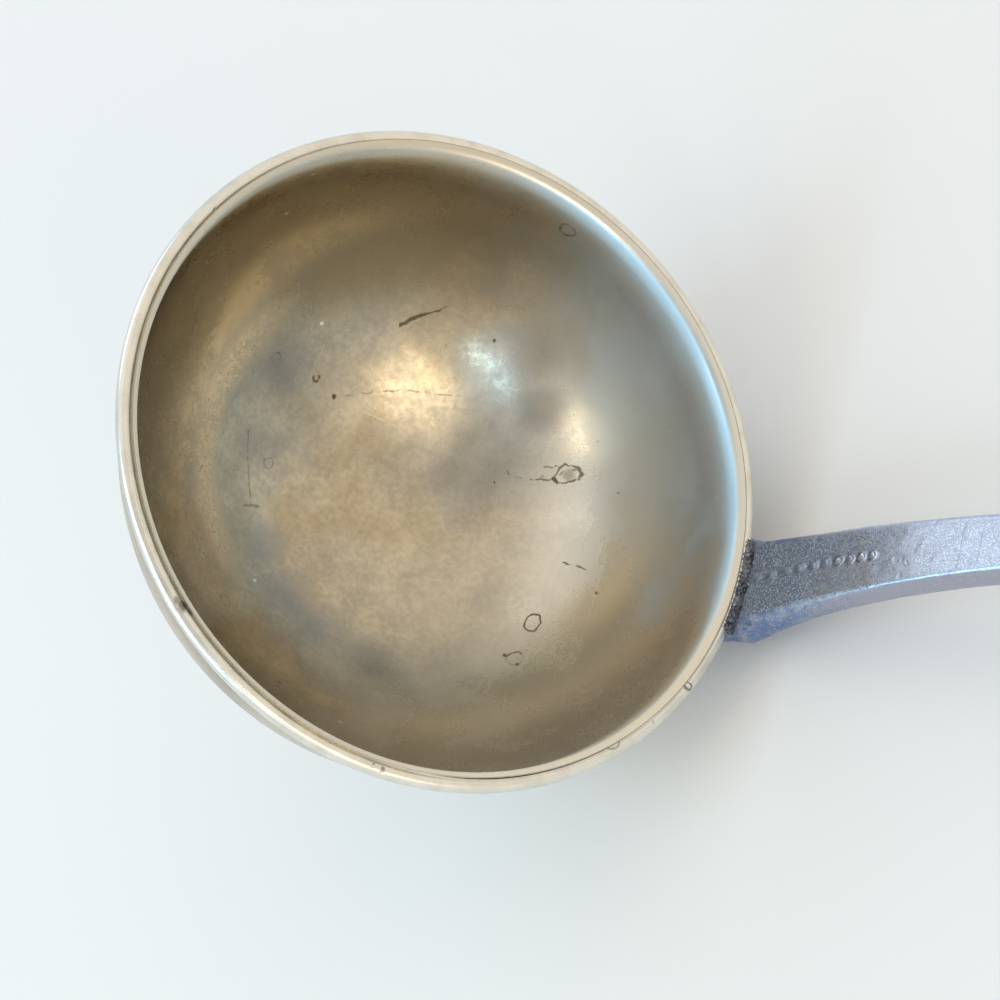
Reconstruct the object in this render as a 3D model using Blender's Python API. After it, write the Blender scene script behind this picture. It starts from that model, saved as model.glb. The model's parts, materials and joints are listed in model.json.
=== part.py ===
"""Soup ladle: a deep raised bowl, a round wire soldered round its rim, and a forged iron handle.

Metres, +Z up. The ladle lies as it does on a table at z = 0, on the tongue's back and the hook's tip,
with its handle towards +X and the origin under its middle. It is modelled upright, from the centre of
the small flat under the bowl, and set down at the end. The handle's foot laps the rim wire and its
tongue runs down the bowl's back, so the handle is cut by one turned surface that follows them all.
"""

import math
from collections import namedtuple

import bmesh
import bpy
from mathutils import Matrix, Vector

# Bowl and rim
RIM_DIAMETER = 0.096
WIRE_DIAMETER = 0.0021
BOWL_WALL = 0.0007
BOWL_DEPTH = 0.0425
BASE_FLAT_DIAMETER = 0.022
UPRIGHT_LIP = 0.004
LIP_ABOVE_WIRE = 0.0002
BUTT_JOINT_GAP = 0.0004
BUTT_JOINT_ANGLE = math.radians(-127.7)
CLEARANCE = 0.0003

# Solder: a hollow fillet under the wire all round, and one in front of the handle's foot
RIM_FILLET_LEG = 0.00135
RIM_FILLET_END_ANGLE = math.radians(265.0)
RIM_FILLET_HOLLOW = 0.00018
FOOT_FILLET_HEIGHT = 0.0010
FOOT_FILLET_INNER_ANGLE = math.radians(104.0)
FOOT_FILLET_OUTER_ANGLE = math.radians(35.0)
FOOT_FILLET_HOLLOW = 0.00012
FOOT_FILLET_OVERHANG = 0.0012
FOOT_FILLET_END_SHARE = 0.6
FOOT_FILLET_END_POWER = 4

# Handle: s is the length along its front face, from the rim wire upwards
HANDLE_LENGTH = 0.225
FOOT_LAP = 0.00075
ROOT_LEAN = math.radians(14.5)
GRIP_LEAN = math.radians(31.0)
LEAN_FROM = 0.008
LEAN_TO = 0.070
ROOT_WIDTH = 0.0126
WAIST_WIDTH = 0.0076
WAIST_AT = 0.058
WAIST_TAPER_POWER = 1.6
GRIP_WIDTH = 0.0114
GRIP_PLACE_SHARE = 0.82
ROOT_THICKNESS = 0.0066
NECK_THICKNESS = 0.0052
NECK_AT = 0.013
WAIST_THICKNESS = 0.0060
GRIP_THICKNESS = 0.0036
ROOT_FLARE = 0.0018
ROOT_FLARE_DEPTH = 0.0042
FLARE_LENGTH = 0.022
ROOT_FADE_POWER = 2
ROOT_BACK_INSET = 0.0022
EDGE_BEVEL = 0.00035
SIDE_ROUNDING = 0.0007
BACK_INSET = 0.0005
BACK_ROUNDING = 0.0011
CORNER_SHARE = 0.4

# Tongue, from the foot down the bowl's back
TONGUE_DROP = 0.024
TONGUE_WIDTH = 0.0168
TONGUE_NECK_WIDTH = 0.0132
TONGUE_TIP_THICKNESS = 0.0013
TONGUE_ROUND_END = 0.0108
TONGUE_TAPER_POWER = 1.3
TONGUE_BACK_SHARE = 0.72
TONGUE_WIDEST_SHARE = 0.45
TONGUE_FROM = 0.0014
TONGUE_END_CUT = 0.0004
RAW_DEPTH = 0.002

# Hanging hook, bent away from the bowl
HOOK_RADIUS = 0.012
HOOK_TURN = math.radians(168.0)
HOOK_WIDTH = 0.0074
HOOK_TIP_WIDTH = 0.0048
HOOK_THICKNESS = 0.0032
HOOK_TIP_THICKNESS = 0.0024
TIP_ROUNDING = math.radians(75.0)

# Row of dots punched in the front face, closer together as they climb
DOT_COUNT = 10
DOT_DIAMETER = 0.0014
DOT_DEPTH = 0.0004
FIRST_DOT_AT = 0.0026
FIRST_PITCH = 0.0031
PITCH_RATIO = 0.94

# Facets
TURN_STEPS = 72
WALL_STEPS = 13
LIP_STEPS = 4
WIRE_STEPS = 12
RIM_FILLET_STEPS = 2
FOOT_FILLET_STEPS = 4
FOOT_FILLET_RINGS = 10
CORNER_STEPS = 3
TONGUE_STEPS = 11
HANDLE_STEPS = 34
HANDLE_STEP_GROWTH = 1.25
HOOK_STEPS = 14
TIP_STEPS = 3
BALL_SEGMENTS = 12
BALL_RINGS = 8
PATH_STEP = 0.0005
SHARP_ANGLE = math.radians(35.0)
MERGE = 1e-6
REST_TRIES = 8

# Derived places. Heights of the wire, the solder and the handle count from the rim wire's centre
WIRE_RADIUS = WIRE_DIAMETER / 2
WIRE_RING_RADIUS = RIM_DIAMETER / 2 - WIRE_RADIUS
WIRE_CENTRE = Vector((WIRE_RING_RADIUS, 0.0))
WIRE_REACH = WIRE_RADIUS + CLEARANCE
WALL_RADIUS = WIRE_RING_RADIUS - WIRE_REACH
SEAT_RADIUS = WALL_RADIUS + CLEARANCE
RIM_HEIGHT = BOWL_DEPTH - LIP_ABOVE_WIRE - WIRE_RADIUS
SPRING_HEIGHT = BOWL_DEPTH - UPRIGHT_LIP
BASE_ANGLE = math.acos(BASE_FLAT_DIAMETER / 2 / WALL_RADIUS)
BOWL_SEMI_HEIGHT = SPRING_HEIGHT / math.sin(BASE_ANGLE)
FRONT_RADIUS = RIM_DIAMETER / 2 - FOOT_LAP
FRONT_HEIGHT = math.sqrt(WIRE_REACH**2 - (FRONT_RADIUS - WIRE_RING_RADIUS) ** 2)
GRIP_AT = HANDLE_LENGTH * GRIP_PLACE_SHARE
HOOK_LENGTH = HOOK_RADIUS * HOOK_TURN

Finish = namedtuple("Finish", "colour roughness metallic")
WHITE_METAL = Finish((0.56, 0.51, 0.41), 0.34, 1.0)
RIM_METAL = Finish((0.66, 0.63, 0.56), 0.28, 1.0)
DARK_IRON = Finish((0.20, 0.20, 0.23), 0.46, 1.0)
SOFT_SOLDER = Finish((0.33, 0.34, 0.36), 0.55, 1.0)

# A cross-section of the handle: a point on its front face, the tilt of its depth direction below +X,
# half widths at the front, at the widest place and at the back, and the depths of those three
Section = namedtuple("Section", "x z tilt front widest back front_depth widest_depth thickness")


def mix(a, b, t):
    return a + (b - a) * t


def ease(t):
    """Smooth step from 0 to 1 with flat ends."""
    t = min(max(t, 0.0), 1.0)
    return t * t * (3.0 - 2.0 * t)


def fade(s, length, power):
    """1 at s = 0, falling to 0 at this length."""
    return max(0.0, 1.0 - s / length) ** power


def arc(centre, radius, start, end, steps):
    """Points on an arc of the (radius, height) plane, both ends included."""
    angles = [mix(start, end, i / steps) for i in range(steps + 1)]
    return [Vector((centre[0] + radius * math.cos(a), centre[1] + radius * math.sin(a))) for a in angles]


def clear_scene():
    for obj in list(bpy.data.objects):
        bpy.data.objects.remove(obj, do_unlink=True)


def make_material(name, finish):
    material = bpy.data.materials.new(name)
    material.use_nodes = True
    shader = material.node_tree.nodes["Principled BSDF"]
    shader.inputs["Base Color"].default_value = (*finish.colour, 1.0)
    shader.inputs["Roughness"].default_value = finish.roughness
    shader.inputs["Metallic"].default_value = finish.metallic
    return material


def add_object(name, bm, height, parent):
    """A closed bmesh becomes an object whose local origin lies on the bowl's axis at this height."""
    bmesh.ops.recalc_face_normals(bm, faces=bm.faces)
    if bm.calc_volume(signed=True) < 0.0:
        bmesh.ops.reverse_faces(bm, faces=bm.faces)
    mesh = bpy.data.meshes.new(name)
    bm.to_mesh(mesh)
    bm.free()
    mesh.shade_smooth()
    mesh.set_sharp_from_angle(angle=SHARP_ANGLE)
    obj = bpy.data.objects.new(name, mesh)
    obj.location = (0.0, 0.0, height)
    obj.parent = parent
    bpy.context.collection.objects.link(obj)
    return obj


def add_piece(name, bm, height, parent, finish):
    piece = add_object(name, bm, height, parent)
    piece.data.materials.append(make_material(name, finish))
    return piece


def add_cutter(name, bm, height, parent):
    cutter = add_object(name, bm, height, parent)
    cutter.hide_render = True
    cutter.display_type = "WIRE"
    return cutter


def cut(piece, cutter):
    boolean = piece.modifiers.new(cutter.name, "BOOLEAN")
    boolean.operation = "DIFFERENCE"
    boolean.solver = "EXACT"
    boolean.object = cutter


def turned(profile, closed=True, start=0.0, angle=2 * math.pi):
    """Spins (radius, height) points about Z, then fills the open ends of the turn or of the profile."""
    steps = max(2, round(TURN_STEPS * angle / (2 * math.pi)))
    turn = Matrix.Rotation(start, 3, "Z")
    bm = bmesh.new()
    verts = [bm.verts.new(turn @ Vector((radius, 0.0, height))) for radius, height in profile]
    pairs = list(zip(verts, verts[1:]))
    if closed:
        pairs.append((verts[-1], verts[0]))
    edges = [bm.edges.new(pair) for pair in pairs]
    bmesh.ops.spin(bm, geom=verts + edges, axis=(0, 0, 1), cent=(0, 0, 0), angle=angle, steps=steps)
    bmesh.ops.remove_doubles(bm, verts=bm.verts, dist=MERGE)
    open_edges = [edge for edge in bm.edges if edge.is_boundary]
    if open_edges:
        bmesh.ops.edgeloop_fill(bm, edges=open_edges)
    return bm


def skinned(rings):
    """Joins rings of points, one after another, and closes both ends."""
    bm = bmesh.new()
    loops = [[bm.verts.new(point) for point in ring] for ring in rings]
    count = len(loops[0])
    for lower, upper in zip(loops, loops[1:]):
        for i in range(count):
            j = (i + 1) % count
            bm.faces.new((lower[i], lower[j], upper[j], upper[i]))
    bm.faces.new(loops[0][::-1])
    bm.faces.new(loops[-1])
    return bm


def bowl_curve(inset):
    """Bowl profile from the base to the spring line, set in from the outer face."""
    angles = [mix(BASE_ANGLE, 0.0, i / WALL_STEPS) for i in range(WALL_STEPS + 1)]
    across = WALL_RADIUS - inset
    down = BOWL_SEMI_HEIGHT - inset
    return [(across * math.cos(a), SPRING_HEIGHT - down * math.sin(a)) for a in angles]


def make_bowl(parent):
    half_wall = BOWL_WALL / 2
    lip = arc((WALL_RADIUS - half_wall, BOWL_DEPTH - half_wall), half_wall, 0.0, math.pi, LIP_STEPS)
    profile = bowl_curve(0.0) + lip + bowl_curve(BOWL_WALL)[::-1]
    add_piece("bowl", turned(profile, closed=False), 0.0, parent, WHITE_METAL)


def make_rim_wire(parent):
    """The ring is one length of wire, so its ends meet at an open butt joint."""
    circle = arc(WIRE_CENTRE, WIRE_RADIUS, 0.0, 2 * math.pi, WIRE_STEPS)[:-1]
    gap_angle = BUTT_JOINT_GAP / WIRE_RING_RADIUS
    ring = turned(circle, start=BUTT_JOINT_ANGLE + gap_angle / 2, angle=2 * math.pi - gap_angle)
    add_piece("rim_wire", ring, RIM_HEIGHT, parent, RIM_METAL)


def rim_fillet_profile():
    """Solder in the corner under the wire: up the wall, round the wire, and a hollow face."""
    wall_angle = math.pi + math.acos((WIRE_RING_RADIUS - SEAT_RADIUS) / WIRE_REACH)
    wire_side = arc(WIRE_CENTRE, WIRE_REACH, wall_angle, RIM_FILLET_END_ANGLE, RIM_FILLET_STEPS)
    wall_foot = wire_side[0] - Vector((0.0, RIM_FILLET_LEG))
    face = wire_side[-1] - wall_foot
    inward = Vector((-face.y, face.x)).normalized()
    hollow = (wall_foot + wire_side[-1]) / 2 + inward * RIM_FILLET_HOLLOW
    return [wall_foot, *wire_side, hollow]


def make_rim_solder(parent):
    add_piece("rim_solder", turned(rim_fillet_profile()), RIM_HEIGHT, parent, SOFT_SOLDER)


def foot_fillet_profile(gap):
    """Solder on the wire in front of the handle's foot: along the wire, then its outer and top points.

    The gap moves the outer face towards the handle, which is cut to the same line.
    """
    span = (FOOT_FILLET_INNER_ANGLE, FOOT_FILLET_OUTER_ANGLE)
    wire_side = arc(WIRE_CENTRE, WIRE_REACH, *span, FOOT_FILLET_STEPS)
    outer = wire_side.pop()
    top_radius = FRONT_RADIUS + FOOT_FILLET_HEIGHT * math.tan(ROOT_LEAN) - CLEARANCE
    top = Vector((top_radius, FRONT_HEIGHT + FOOT_FILLET_HEIGHT))
    outward = Vector((top.y - outer.y, outer.x - top.x)).normalized() * gap
    return wire_side, outer + outward, top + outward


def make_handle_solder(parent):
    """The fillet follows the wire across the handle's foot and dies down towards both ends."""
    wire_side, outer, top = foot_fillet_profile(0.0)
    face = top - wire_side[0]
    inward = Vector((face.y, -face.x)).normalized()
    hollow = (wire_side[0] + top) / 2 + inward * FOOT_FILLET_HOLLOW
    half_turn = math.asin((ROOT_WIDTH / 2 + FOOT_FILLET_OVERHANG) / WIRE_RING_RADIUS)
    rings = []
    for i in range(FOOT_FILLET_RINGS + 1):
        along = 2.0 * i / FOOT_FILLET_RINGS - 1.0
        size = mix(1.0, FOOT_FILLET_END_SHARE, along**FOOT_FILLET_END_POWER)
        turn = Matrix.Rotation(along * half_turn, 3, "Z")
        ring = []
        for point in (*wire_side, outer, top, hollow):
            spoke = point - WIRE_CENTRE
            place = WIRE_CENTRE + spoke.normalized() * mix(WIRE_REACH, spoke.length, size)
            ring.append(turn @ Vector((place.x, 0.0, place.y)))
        rings.append(ring)
    add_piece("handle_solder", skinned(rings), RIM_HEIGHT, parent, SOFT_SOLDER)


def hook_share(s):
    """0 up to the hook's start, rising to 1 at its tip."""
    return min(max((s - HANDLE_LENGTH) / HOOK_LENGTH, 0.0), 1.0)


def lean_at(s):
    """Lean of the front face from upright, hook included."""
    lean = mix(ROOT_LEAN, GRIP_LEAN, ease((s - LEAN_FROM) / (LEAN_TO - LEAN_FROM)))
    return lean + HOOK_TURN * hook_share(s)


def front_path(lengths):
    """(x, z, lean) at each of these rising lengths along the front face, added up in small steps."""
    x, z, s = FRONT_RADIUS, FRONT_HEIGHT, 0.0
    places = []
    for target in lengths:
        while s < target:
            step = min(PATH_STEP, target - s)
            lean = lean_at(s + step / 2)
            x += step * math.sin(lean)
            z += step * math.cos(lean)
            s += step
        places.append((x, z, lean_at(s)))
    return places


def width_at(s):
    width = mix(WAIST_WIDTH, ROOT_WIDTH, fade(s, WAIST_AT, WAIST_TAPER_POWER))
    width = mix(width, GRIP_WIDTH, ease((s - WAIST_AT) / (GRIP_AT - WAIST_AT)))
    width = mix(width, HOOK_WIDTH, ease((s - GRIP_AT) / (HANDLE_LENGTH - GRIP_AT)))
    return mix(width, HOOK_TIP_WIDTH, hook_share(s))


def thickness_at(s):
    thickness = mix(NECK_THICKNESS, ROOT_THICKNESS, fade(s, NECK_AT, ROOT_FADE_POWER))
    thickness = mix(thickness, WAIST_THICKNESS, ease((s - NECK_AT) / (WAIST_AT - NECK_AT)))
    thickness = mix(thickness, GRIP_THICKNESS, ease((s - WAIST_AT) / (GRIP_AT - WAIST_AT)))
    thickness = mix(thickness, HOOK_THICKNESS, ease((s - GRIP_AT) / (HANDLE_LENGTH - GRIP_AT)))
    return mix(thickness, HOOK_TIP_THICKNESS, hook_share(s))


def stem_sections():
    """Sections from the rim wire to the hook's tip."""
    lengths = [HANDLE_LENGTH * (i / HANDLE_STEPS) ** HANDLE_STEP_GROWTH for i in range(HANDLE_STEPS + 1)]
    lengths += [HANDLE_LENGTH + HOOK_LENGTH * (i + 1) / HOOK_STEPS for i in range(HOOK_STEPS)]
    sections = []
    for s, (x, z, lean) in zip(lengths, front_path(lengths)):
        flare = fade(s, FLARE_LENGTH, ROOT_FADE_POWER)
        front = width_at(s) / 2
        widest = front + mix(EDGE_BEVEL, ROOT_FLARE, flare)
        back = widest - mix(BACK_INSET, ROOT_BACK_INSET, flare)
        widest_depth = mix(EDGE_BEVEL, ROOT_FLARE_DEPTH, flare)
        sections.append(Section(x, z, lean, front, widest, back, 0.0, widest_depth, thickness_at(s)))
    return sections + tip_sections(sections[-1])


def tip_sections(last):
    """Shrinking sections past the hook's end, so that its tip is rounded."""
    radius = last.thickness / 2
    ahead = Vector((math.sin(last.tilt), math.cos(last.tilt)))
    deeper = Vector((math.cos(last.tilt), -math.sin(last.tilt)))
    sections = []
    for i in range(1, TIP_STEPS + 1):
        angle = TIP_ROUNDING * i / TIP_STEPS
        size = math.cos(angle)
        shift = radius * (ahead * math.sin(angle) + deeper * (1.0 - size))
        widths = (last.front * size, last.widest * size, last.back * size)
        depths = (0.0, last.widest_depth * size, last.thickness * size)
        sections.append(Section(last.x + shift.x, last.z + shift.y, last.tilt, *widths, *depths))
    return sections


def seat_at(drop):
    """(radius, tilt) of the handle's seat on the bowl's back, at a drop below the rim wire."""
    below = max(0.0, drop - (RIM_HEIGHT - SPRING_HEIGHT))
    semi_height = BOWL_SEMI_HEIGHT + CLEARANCE
    radius = SEAT_RADIUS * math.sqrt(1.0 - (below / semi_height) ** 2)
    return radius, math.atan2(below / semi_height**2, radius / SEAT_RADIUS**2)


def tongue_sections(foot):
    """Sections from the tongue's tip up to the foot. They start inside the bowl, and are cut to it."""
    foot_thickness = foot.thickness + FRONT_RADIUS - SEAT_RADIUS
    tip_tilt = seat_at(TONGUE_DROP)[1]
    sections = []
    for i in range(TONGUE_STEPS):
        quarter = math.pi / 2 * (1.0 - i / (TONGUE_STEPS - 1))
        drop = mix(TONGUE_FROM, TONGUE_DROP - TONGUE_END_CUT, math.sin(quarter))
        share = drop / TONGUE_DROP
        neck = min(1.0, drop / (TONGUE_DROP - TONGUE_ROUND_END))
        into_end = max(0.0, drop - TONGUE_DROP + TONGUE_ROUND_END) / TONGUE_ROUND_END
        half = mix(TONGUE_WIDTH, TONGUE_NECK_WIDTH, neck) / 2 * math.sqrt(1.0 - into_end**2)
        thickness = mix(TONGUE_TIP_THICKNESS, foot_thickness, (1.0 - share) ** TONGUE_TAPER_POWER)
        tilt = mix(ROOT_LEAN, tip_tilt, share**2)
        widths = (half, half, half * TONGUE_BACK_SHARE)
        depths = (-RAW_DEPTH, thickness * TONGUE_WIDEST_SHARE, thickness)
        sections.append(Section(seat_at(drop)[0], -drop, tilt, *widths, *depths))
    return sections


def rounded_outline(section):
    """Outline of a section as (depth, y), with every corner rounded."""
    half = [
        (Vector((section.front_depth, section.front)), EDGE_BEVEL),
        (Vector((section.widest_depth, section.widest)), SIDE_ROUNDING),
        (Vector((section.thickness, section.back)), BACK_ROUNDING),
    ]
    corners = half + [(Vector((corner.x, -corner.y)), radius) for corner, radius in reversed(half)]
    outline = []
    for i, (corner, radius) in enumerate(corners):
        before = corners[i - 1][0] - corner
        after = corners[(i + 1) % len(corners)][0] - corner
        reach = min(radius, before.length * CORNER_SHARE, after.length * CORNER_SHARE)
        start = corner + before.normalized() * reach
        end = corner + after.normalized() * reach
        for k in range(CORNER_STEPS + 1):
            t = k / CORNER_STEPS
            outline.append(start.lerp(corner, t).lerp(corner.lerp(end, t), t))
    return outline


def section_ring(section):
    front = Vector((section.x, 0.0, section.z))
    deeper = Vector((math.cos(section.tilt), 0.0, -math.sin(section.tilt)))
    sideways = Vector((0.0, 1.0, 0.0))
    return [front + deeper * point.x + sideways * point.y for point in rounded_outline(section)]


def saddle_cutter(parent):
    """Turned body that the handle seats on: bowl, rim solder, wire and foot solder, all cleared."""
    _, outer, top = foot_fillet_profile(CLEARANCE)
    upper_drop = 2 * CLEARANCE - rim_fillet_profile()[0].y
    lower_drop = (TONGUE_DROP + RIM_HEIGHT) / 2
    drops = [mix(lower_drop, upper_drop, i / WALL_STEPS) for i in range(WALL_STEPS + 1)]
    wall = [(seat_at(drop)[0], -drop) for drop in drops]
    under_wire = RIM_FILLET_END_ANGLE - 2 * math.pi + 2 * CLEARANCE / WIRE_REACH
    wire = arc(WIRE_CENTRE, WIRE_REACH, under_wire, FOOT_FILLET_OUTER_ANGLE, WIRE_STEPS)[:-1]
    profile = [(0.0, -lower_drop), *wall, *wire, outer, top, (0.0, top.y)]
    return add_cutter("saddle_cutter", turned(profile, closed=False, start=math.pi), RIM_HEIGHT, parent)


def dot_cutter(parent):
    """Balls sunk in the front face, along its middle."""
    ball_radius = ((DOT_DIAMETER / 2) ** 2 + DOT_DEPTH**2) / (2 * DOT_DEPTH)
    lift = ball_radius - DOT_DEPTH
    lengths = [FIRST_DOT_AT]
    for i in range(DOT_COUNT - 1):
        lengths.append(lengths[-1] + FIRST_PITCH * PITCH_RATIO**i)
    ball = {"u_segments": BALL_SEGMENTS, "v_segments": BALL_RINGS, "radius": ball_radius}
    bm = bmesh.new()
    for x, z, lean in front_path(lengths):
        place = Matrix.Translation((x - lift * math.cos(lean), 0.0, z + lift * math.sin(lean)))
        bmesh.ops.create_uvsphere(bm, matrix=place, **ball)
    return add_cutter("dot_cutter", bm, RIM_HEIGHT, parent)


def handle_rings():
    """Rings of points from the tongue's tip to the hook's tip."""
    stem = stem_sections()
    return [section_ring(section) for section in tongue_sections(stem[0]) + stem]


def make_handle(parent):
    handle = add_piece("handle", skinned(handle_rings()), RIM_HEIGHT, parent, DARK_IRON)
    cut(handle, saddle_cutter(parent))
    cut(handle, dot_cutter(parent))


def resting_turn():
    """Turn about Y that brings the tongue's back and the hook down to one level."""
    rings = handle_rings()
    tongue = [point for ring in rings[:TONGUE_STEPS] for point in ring]
    hook = [point for ring in rings[-HOOK_STEPS - TIP_STEPS :] for point in ring]
    turn = math.pi / 2 - GRIP_LEAN
    for _ in range(REST_TRIES):
        down = Vector((math.sin(turn), 0.0, -math.cos(turn)))
        along = max(hook, key=down.dot) - max(tongue, key=down.dot)
        turn = math.atan2(along.z, along.x)
    return turn


def set_down(ladle):
    """Lays the ladle on the plane z = 0 with the origin under the middle of its length."""
    ladle.rotation_euler = (0.0, resting_turn(), 0.0)
    bpy.context.view_layer.update()
    pieces = [child for child in ladle.children if not child.hide_render]
    points = [piece.matrix_world @ vertex.co for piece in pieces for vertex in piece.data.vertices]
    along = [point.x for point in points]
    ladle.location = (-(min(along) + max(along)) / 2, 0.0, -min(point.z for point in points))


def main():
    clear_scene()
    ladle = bpy.data.objects.new("ladle", None)
    bpy.context.collection.objects.link(ladle)
    make_bowl(ladle)
    make_rim_wire(ladle)
    make_rim_solder(ladle)
    make_handle(ladle)
    make_handle_solder(ladle)
    set_down(ladle)


main()
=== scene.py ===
"""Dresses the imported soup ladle: fine meshes, worn metal finishes, a studio and the photograph's camera.

Shapes and patterns are worked out upright, in the bowl's own frame in metres: the origin is the centre of
the small flat under the bowl, +Z is the bowl's axis and the handle stands on the +X side. Posture then
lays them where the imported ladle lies.
"""

import json
import logging
import math
from dataclasses import dataclass
from enum import Enum
from functools import cached_property
from typing import Iterable, Iterator, Sequence, Union

import bpy
import numpy as np
from bpy.types import Material, Mesh, Node, NodeOutputs, NodeSocket, NodeTree, Object
from mathutils import Matrix, Vector, noise


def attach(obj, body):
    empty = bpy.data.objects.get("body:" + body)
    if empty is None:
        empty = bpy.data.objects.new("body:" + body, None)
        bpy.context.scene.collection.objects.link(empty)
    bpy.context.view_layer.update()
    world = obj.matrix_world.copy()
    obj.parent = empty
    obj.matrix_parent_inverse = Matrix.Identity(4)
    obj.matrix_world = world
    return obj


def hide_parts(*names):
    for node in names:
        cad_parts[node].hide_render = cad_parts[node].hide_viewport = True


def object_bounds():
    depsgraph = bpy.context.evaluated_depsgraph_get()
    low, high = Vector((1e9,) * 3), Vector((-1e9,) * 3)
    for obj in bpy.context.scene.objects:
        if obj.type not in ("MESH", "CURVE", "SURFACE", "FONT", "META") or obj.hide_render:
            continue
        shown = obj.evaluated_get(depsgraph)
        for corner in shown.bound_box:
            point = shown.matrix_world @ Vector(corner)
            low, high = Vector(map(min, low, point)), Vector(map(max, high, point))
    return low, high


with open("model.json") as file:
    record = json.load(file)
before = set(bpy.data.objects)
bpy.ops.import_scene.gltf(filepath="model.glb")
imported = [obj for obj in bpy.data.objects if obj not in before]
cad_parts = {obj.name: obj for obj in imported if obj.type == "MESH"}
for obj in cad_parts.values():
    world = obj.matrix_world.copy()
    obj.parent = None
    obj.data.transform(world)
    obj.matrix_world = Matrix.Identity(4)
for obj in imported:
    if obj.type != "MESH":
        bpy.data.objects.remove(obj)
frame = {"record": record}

LOG = logging.getLogger("ladle")
CAD_BOX = [list(corner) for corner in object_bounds()]

Socket = NodeSocket
Value = Union[Socket, float, Sequence[float]]
Colour = tuple[float, float, float]
Point = tuple[float, float, float]
Span = tuple[float, float]

FLOAT = "NodeSocketFloat"
VECTOR = "NodeSocketVector"
GEOMETRY = "NodeSocketGeometry"
MATERIAL = "NodeSocketMaterial"
SOCKET_TYPES = {float: FLOAT, int: "NodeSocketInt", tuple: VECTOR}


def mix(a: float, b: float, share: float) -> float:
    """Value at this share of the way from a to b."""
    return a + (b - a) * share


def ease(share: float) -> float:
    """Smooth step from 0 to 1 with flat ends."""
    share = min(max(share, 0.0), 1.0)
    return share * share * (3.0 - 2.0 * share)


def fade(length: float, reach: float, power: float) -> float:
    """1 at length 0, falling to 0 at this reach."""
    return max(0.0, 1.0 - length / reach) ** power


def arc(centre: Sequence[float], radius: float, start: float, end: float, steps: int) -> np.ndarray:
    """Points on an arc of the (radius, height) plane.

    Args:
        centre: the arc's centre.
        radius: its radius.
        start: first angle, in radians.
        end: last angle.
        steps: number of steps between them.

    Returns:
        steps + 1 points, both ends included.
    """
    angles = np.linspace(start, end, steps + 1)
    across, up = radius * np.cos(angles), radius * np.sin(angles)
    return np.stack([centre[0] + across, centre[1] + up], axis=1)


def wander(points: np.ndarray, size: float, seed: float) -> np.ndarray:
    """Soft noise from -1 to 1 at each point.

    Args:
        points: an (n, 3) array.
        size: the width of one bump, in metres.
        seed: offset that makes one noise unlike another.

    Returns:
        n values.
    """
    shift = Vector((seed, 2.0 * seed, 3.0 * seed))
    return np.array([noise.noise(Vector(point) / size + shift) for point in points])


@dataclass(frozen=True)
class Posture:
    """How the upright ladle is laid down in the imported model's frame: its turn about Y and its place."""

    turn: float
    place: Point

    @classmethod
    def from_record(cls, record: dict) -> "Posture":
        """Reads the flat under the bowl, whose axis points out of the bowl's bottom.

        Args:
            record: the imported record.

        Returns:
            The posture of the bowl's frame.
        """
        base = next(mount for mount in record["mounts"] if mount["name"] == "base")
        return cls(math.atan2(-base["axis"][0], -base["axis"][2]), tuple(base["pos_m"]))

    def matrix(self) -> Matrix:
        """Takes points of the bowl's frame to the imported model's frame."""
        return Matrix.Translation(self.place) @ Matrix.Rotation(self.turn, 4, "Y")


@dataclass(frozen=True)
class BowlForm:
    """Sizes that the bowl, its rim and the handle's seat share."""

    wall_radius: float = 0.0456
    wall: float = 0.0007
    depth: float = 0.0425
    flat_radius: float = 0.011
    upright_lip: float = 0.004
    wire_radius: float = 0.00105
    wire_ring: float = 0.0469
    rim_height: float = 0.04125
    inner_floor: float = 0.00062
    floor_softness: float = 0.0008

    @property
    def spring(self) -> float:
        """Height where the round of the bowl meets its upright lip."""
        return self.depth - self.upright_lip

    @property
    def base_angle(self) -> float:
        """Angle on the bowl's curve at the edge of the flat."""
        return math.acos(self.flat_radius / self.wall_radius)

    @property
    def semi_height(self) -> float:
        """Half height of the outer curve's ellipse."""
        return self.spring / math.sin(self.base_angle)

    def inner_height(self, radius: float) -> float:
        """Height of the inner face, which flattens softly over the flat.

        Args:
            radius: distance from the bowl's axis.

        Returns:
            The height above the flat.
        """
        across = min(radius / (self.wall_radius - self.wall), 1.0)
        curve = self.spring - (self.semi_height - self.wall) * math.sqrt(1.0 - across * across)
        apart = curve - self.inner_floor
        return (curve + self.inner_floor + math.hypot(apart, self.floor_softness)) / 2.0

    def outer_radius(self, height: float) -> float:
        """Radius of the outer face at a height."""
        below = max(0.0, self.spring - height) / self.semi_height
        return self.wall_radius * math.sqrt(max(0.0, 1.0 - below * below))

    def on_inside(self, x: float, y: float) -> Point:
        """Point of the inner face over a plan position."""
        return (x, y, self.inner_height(math.hypot(x, y)))


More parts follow.
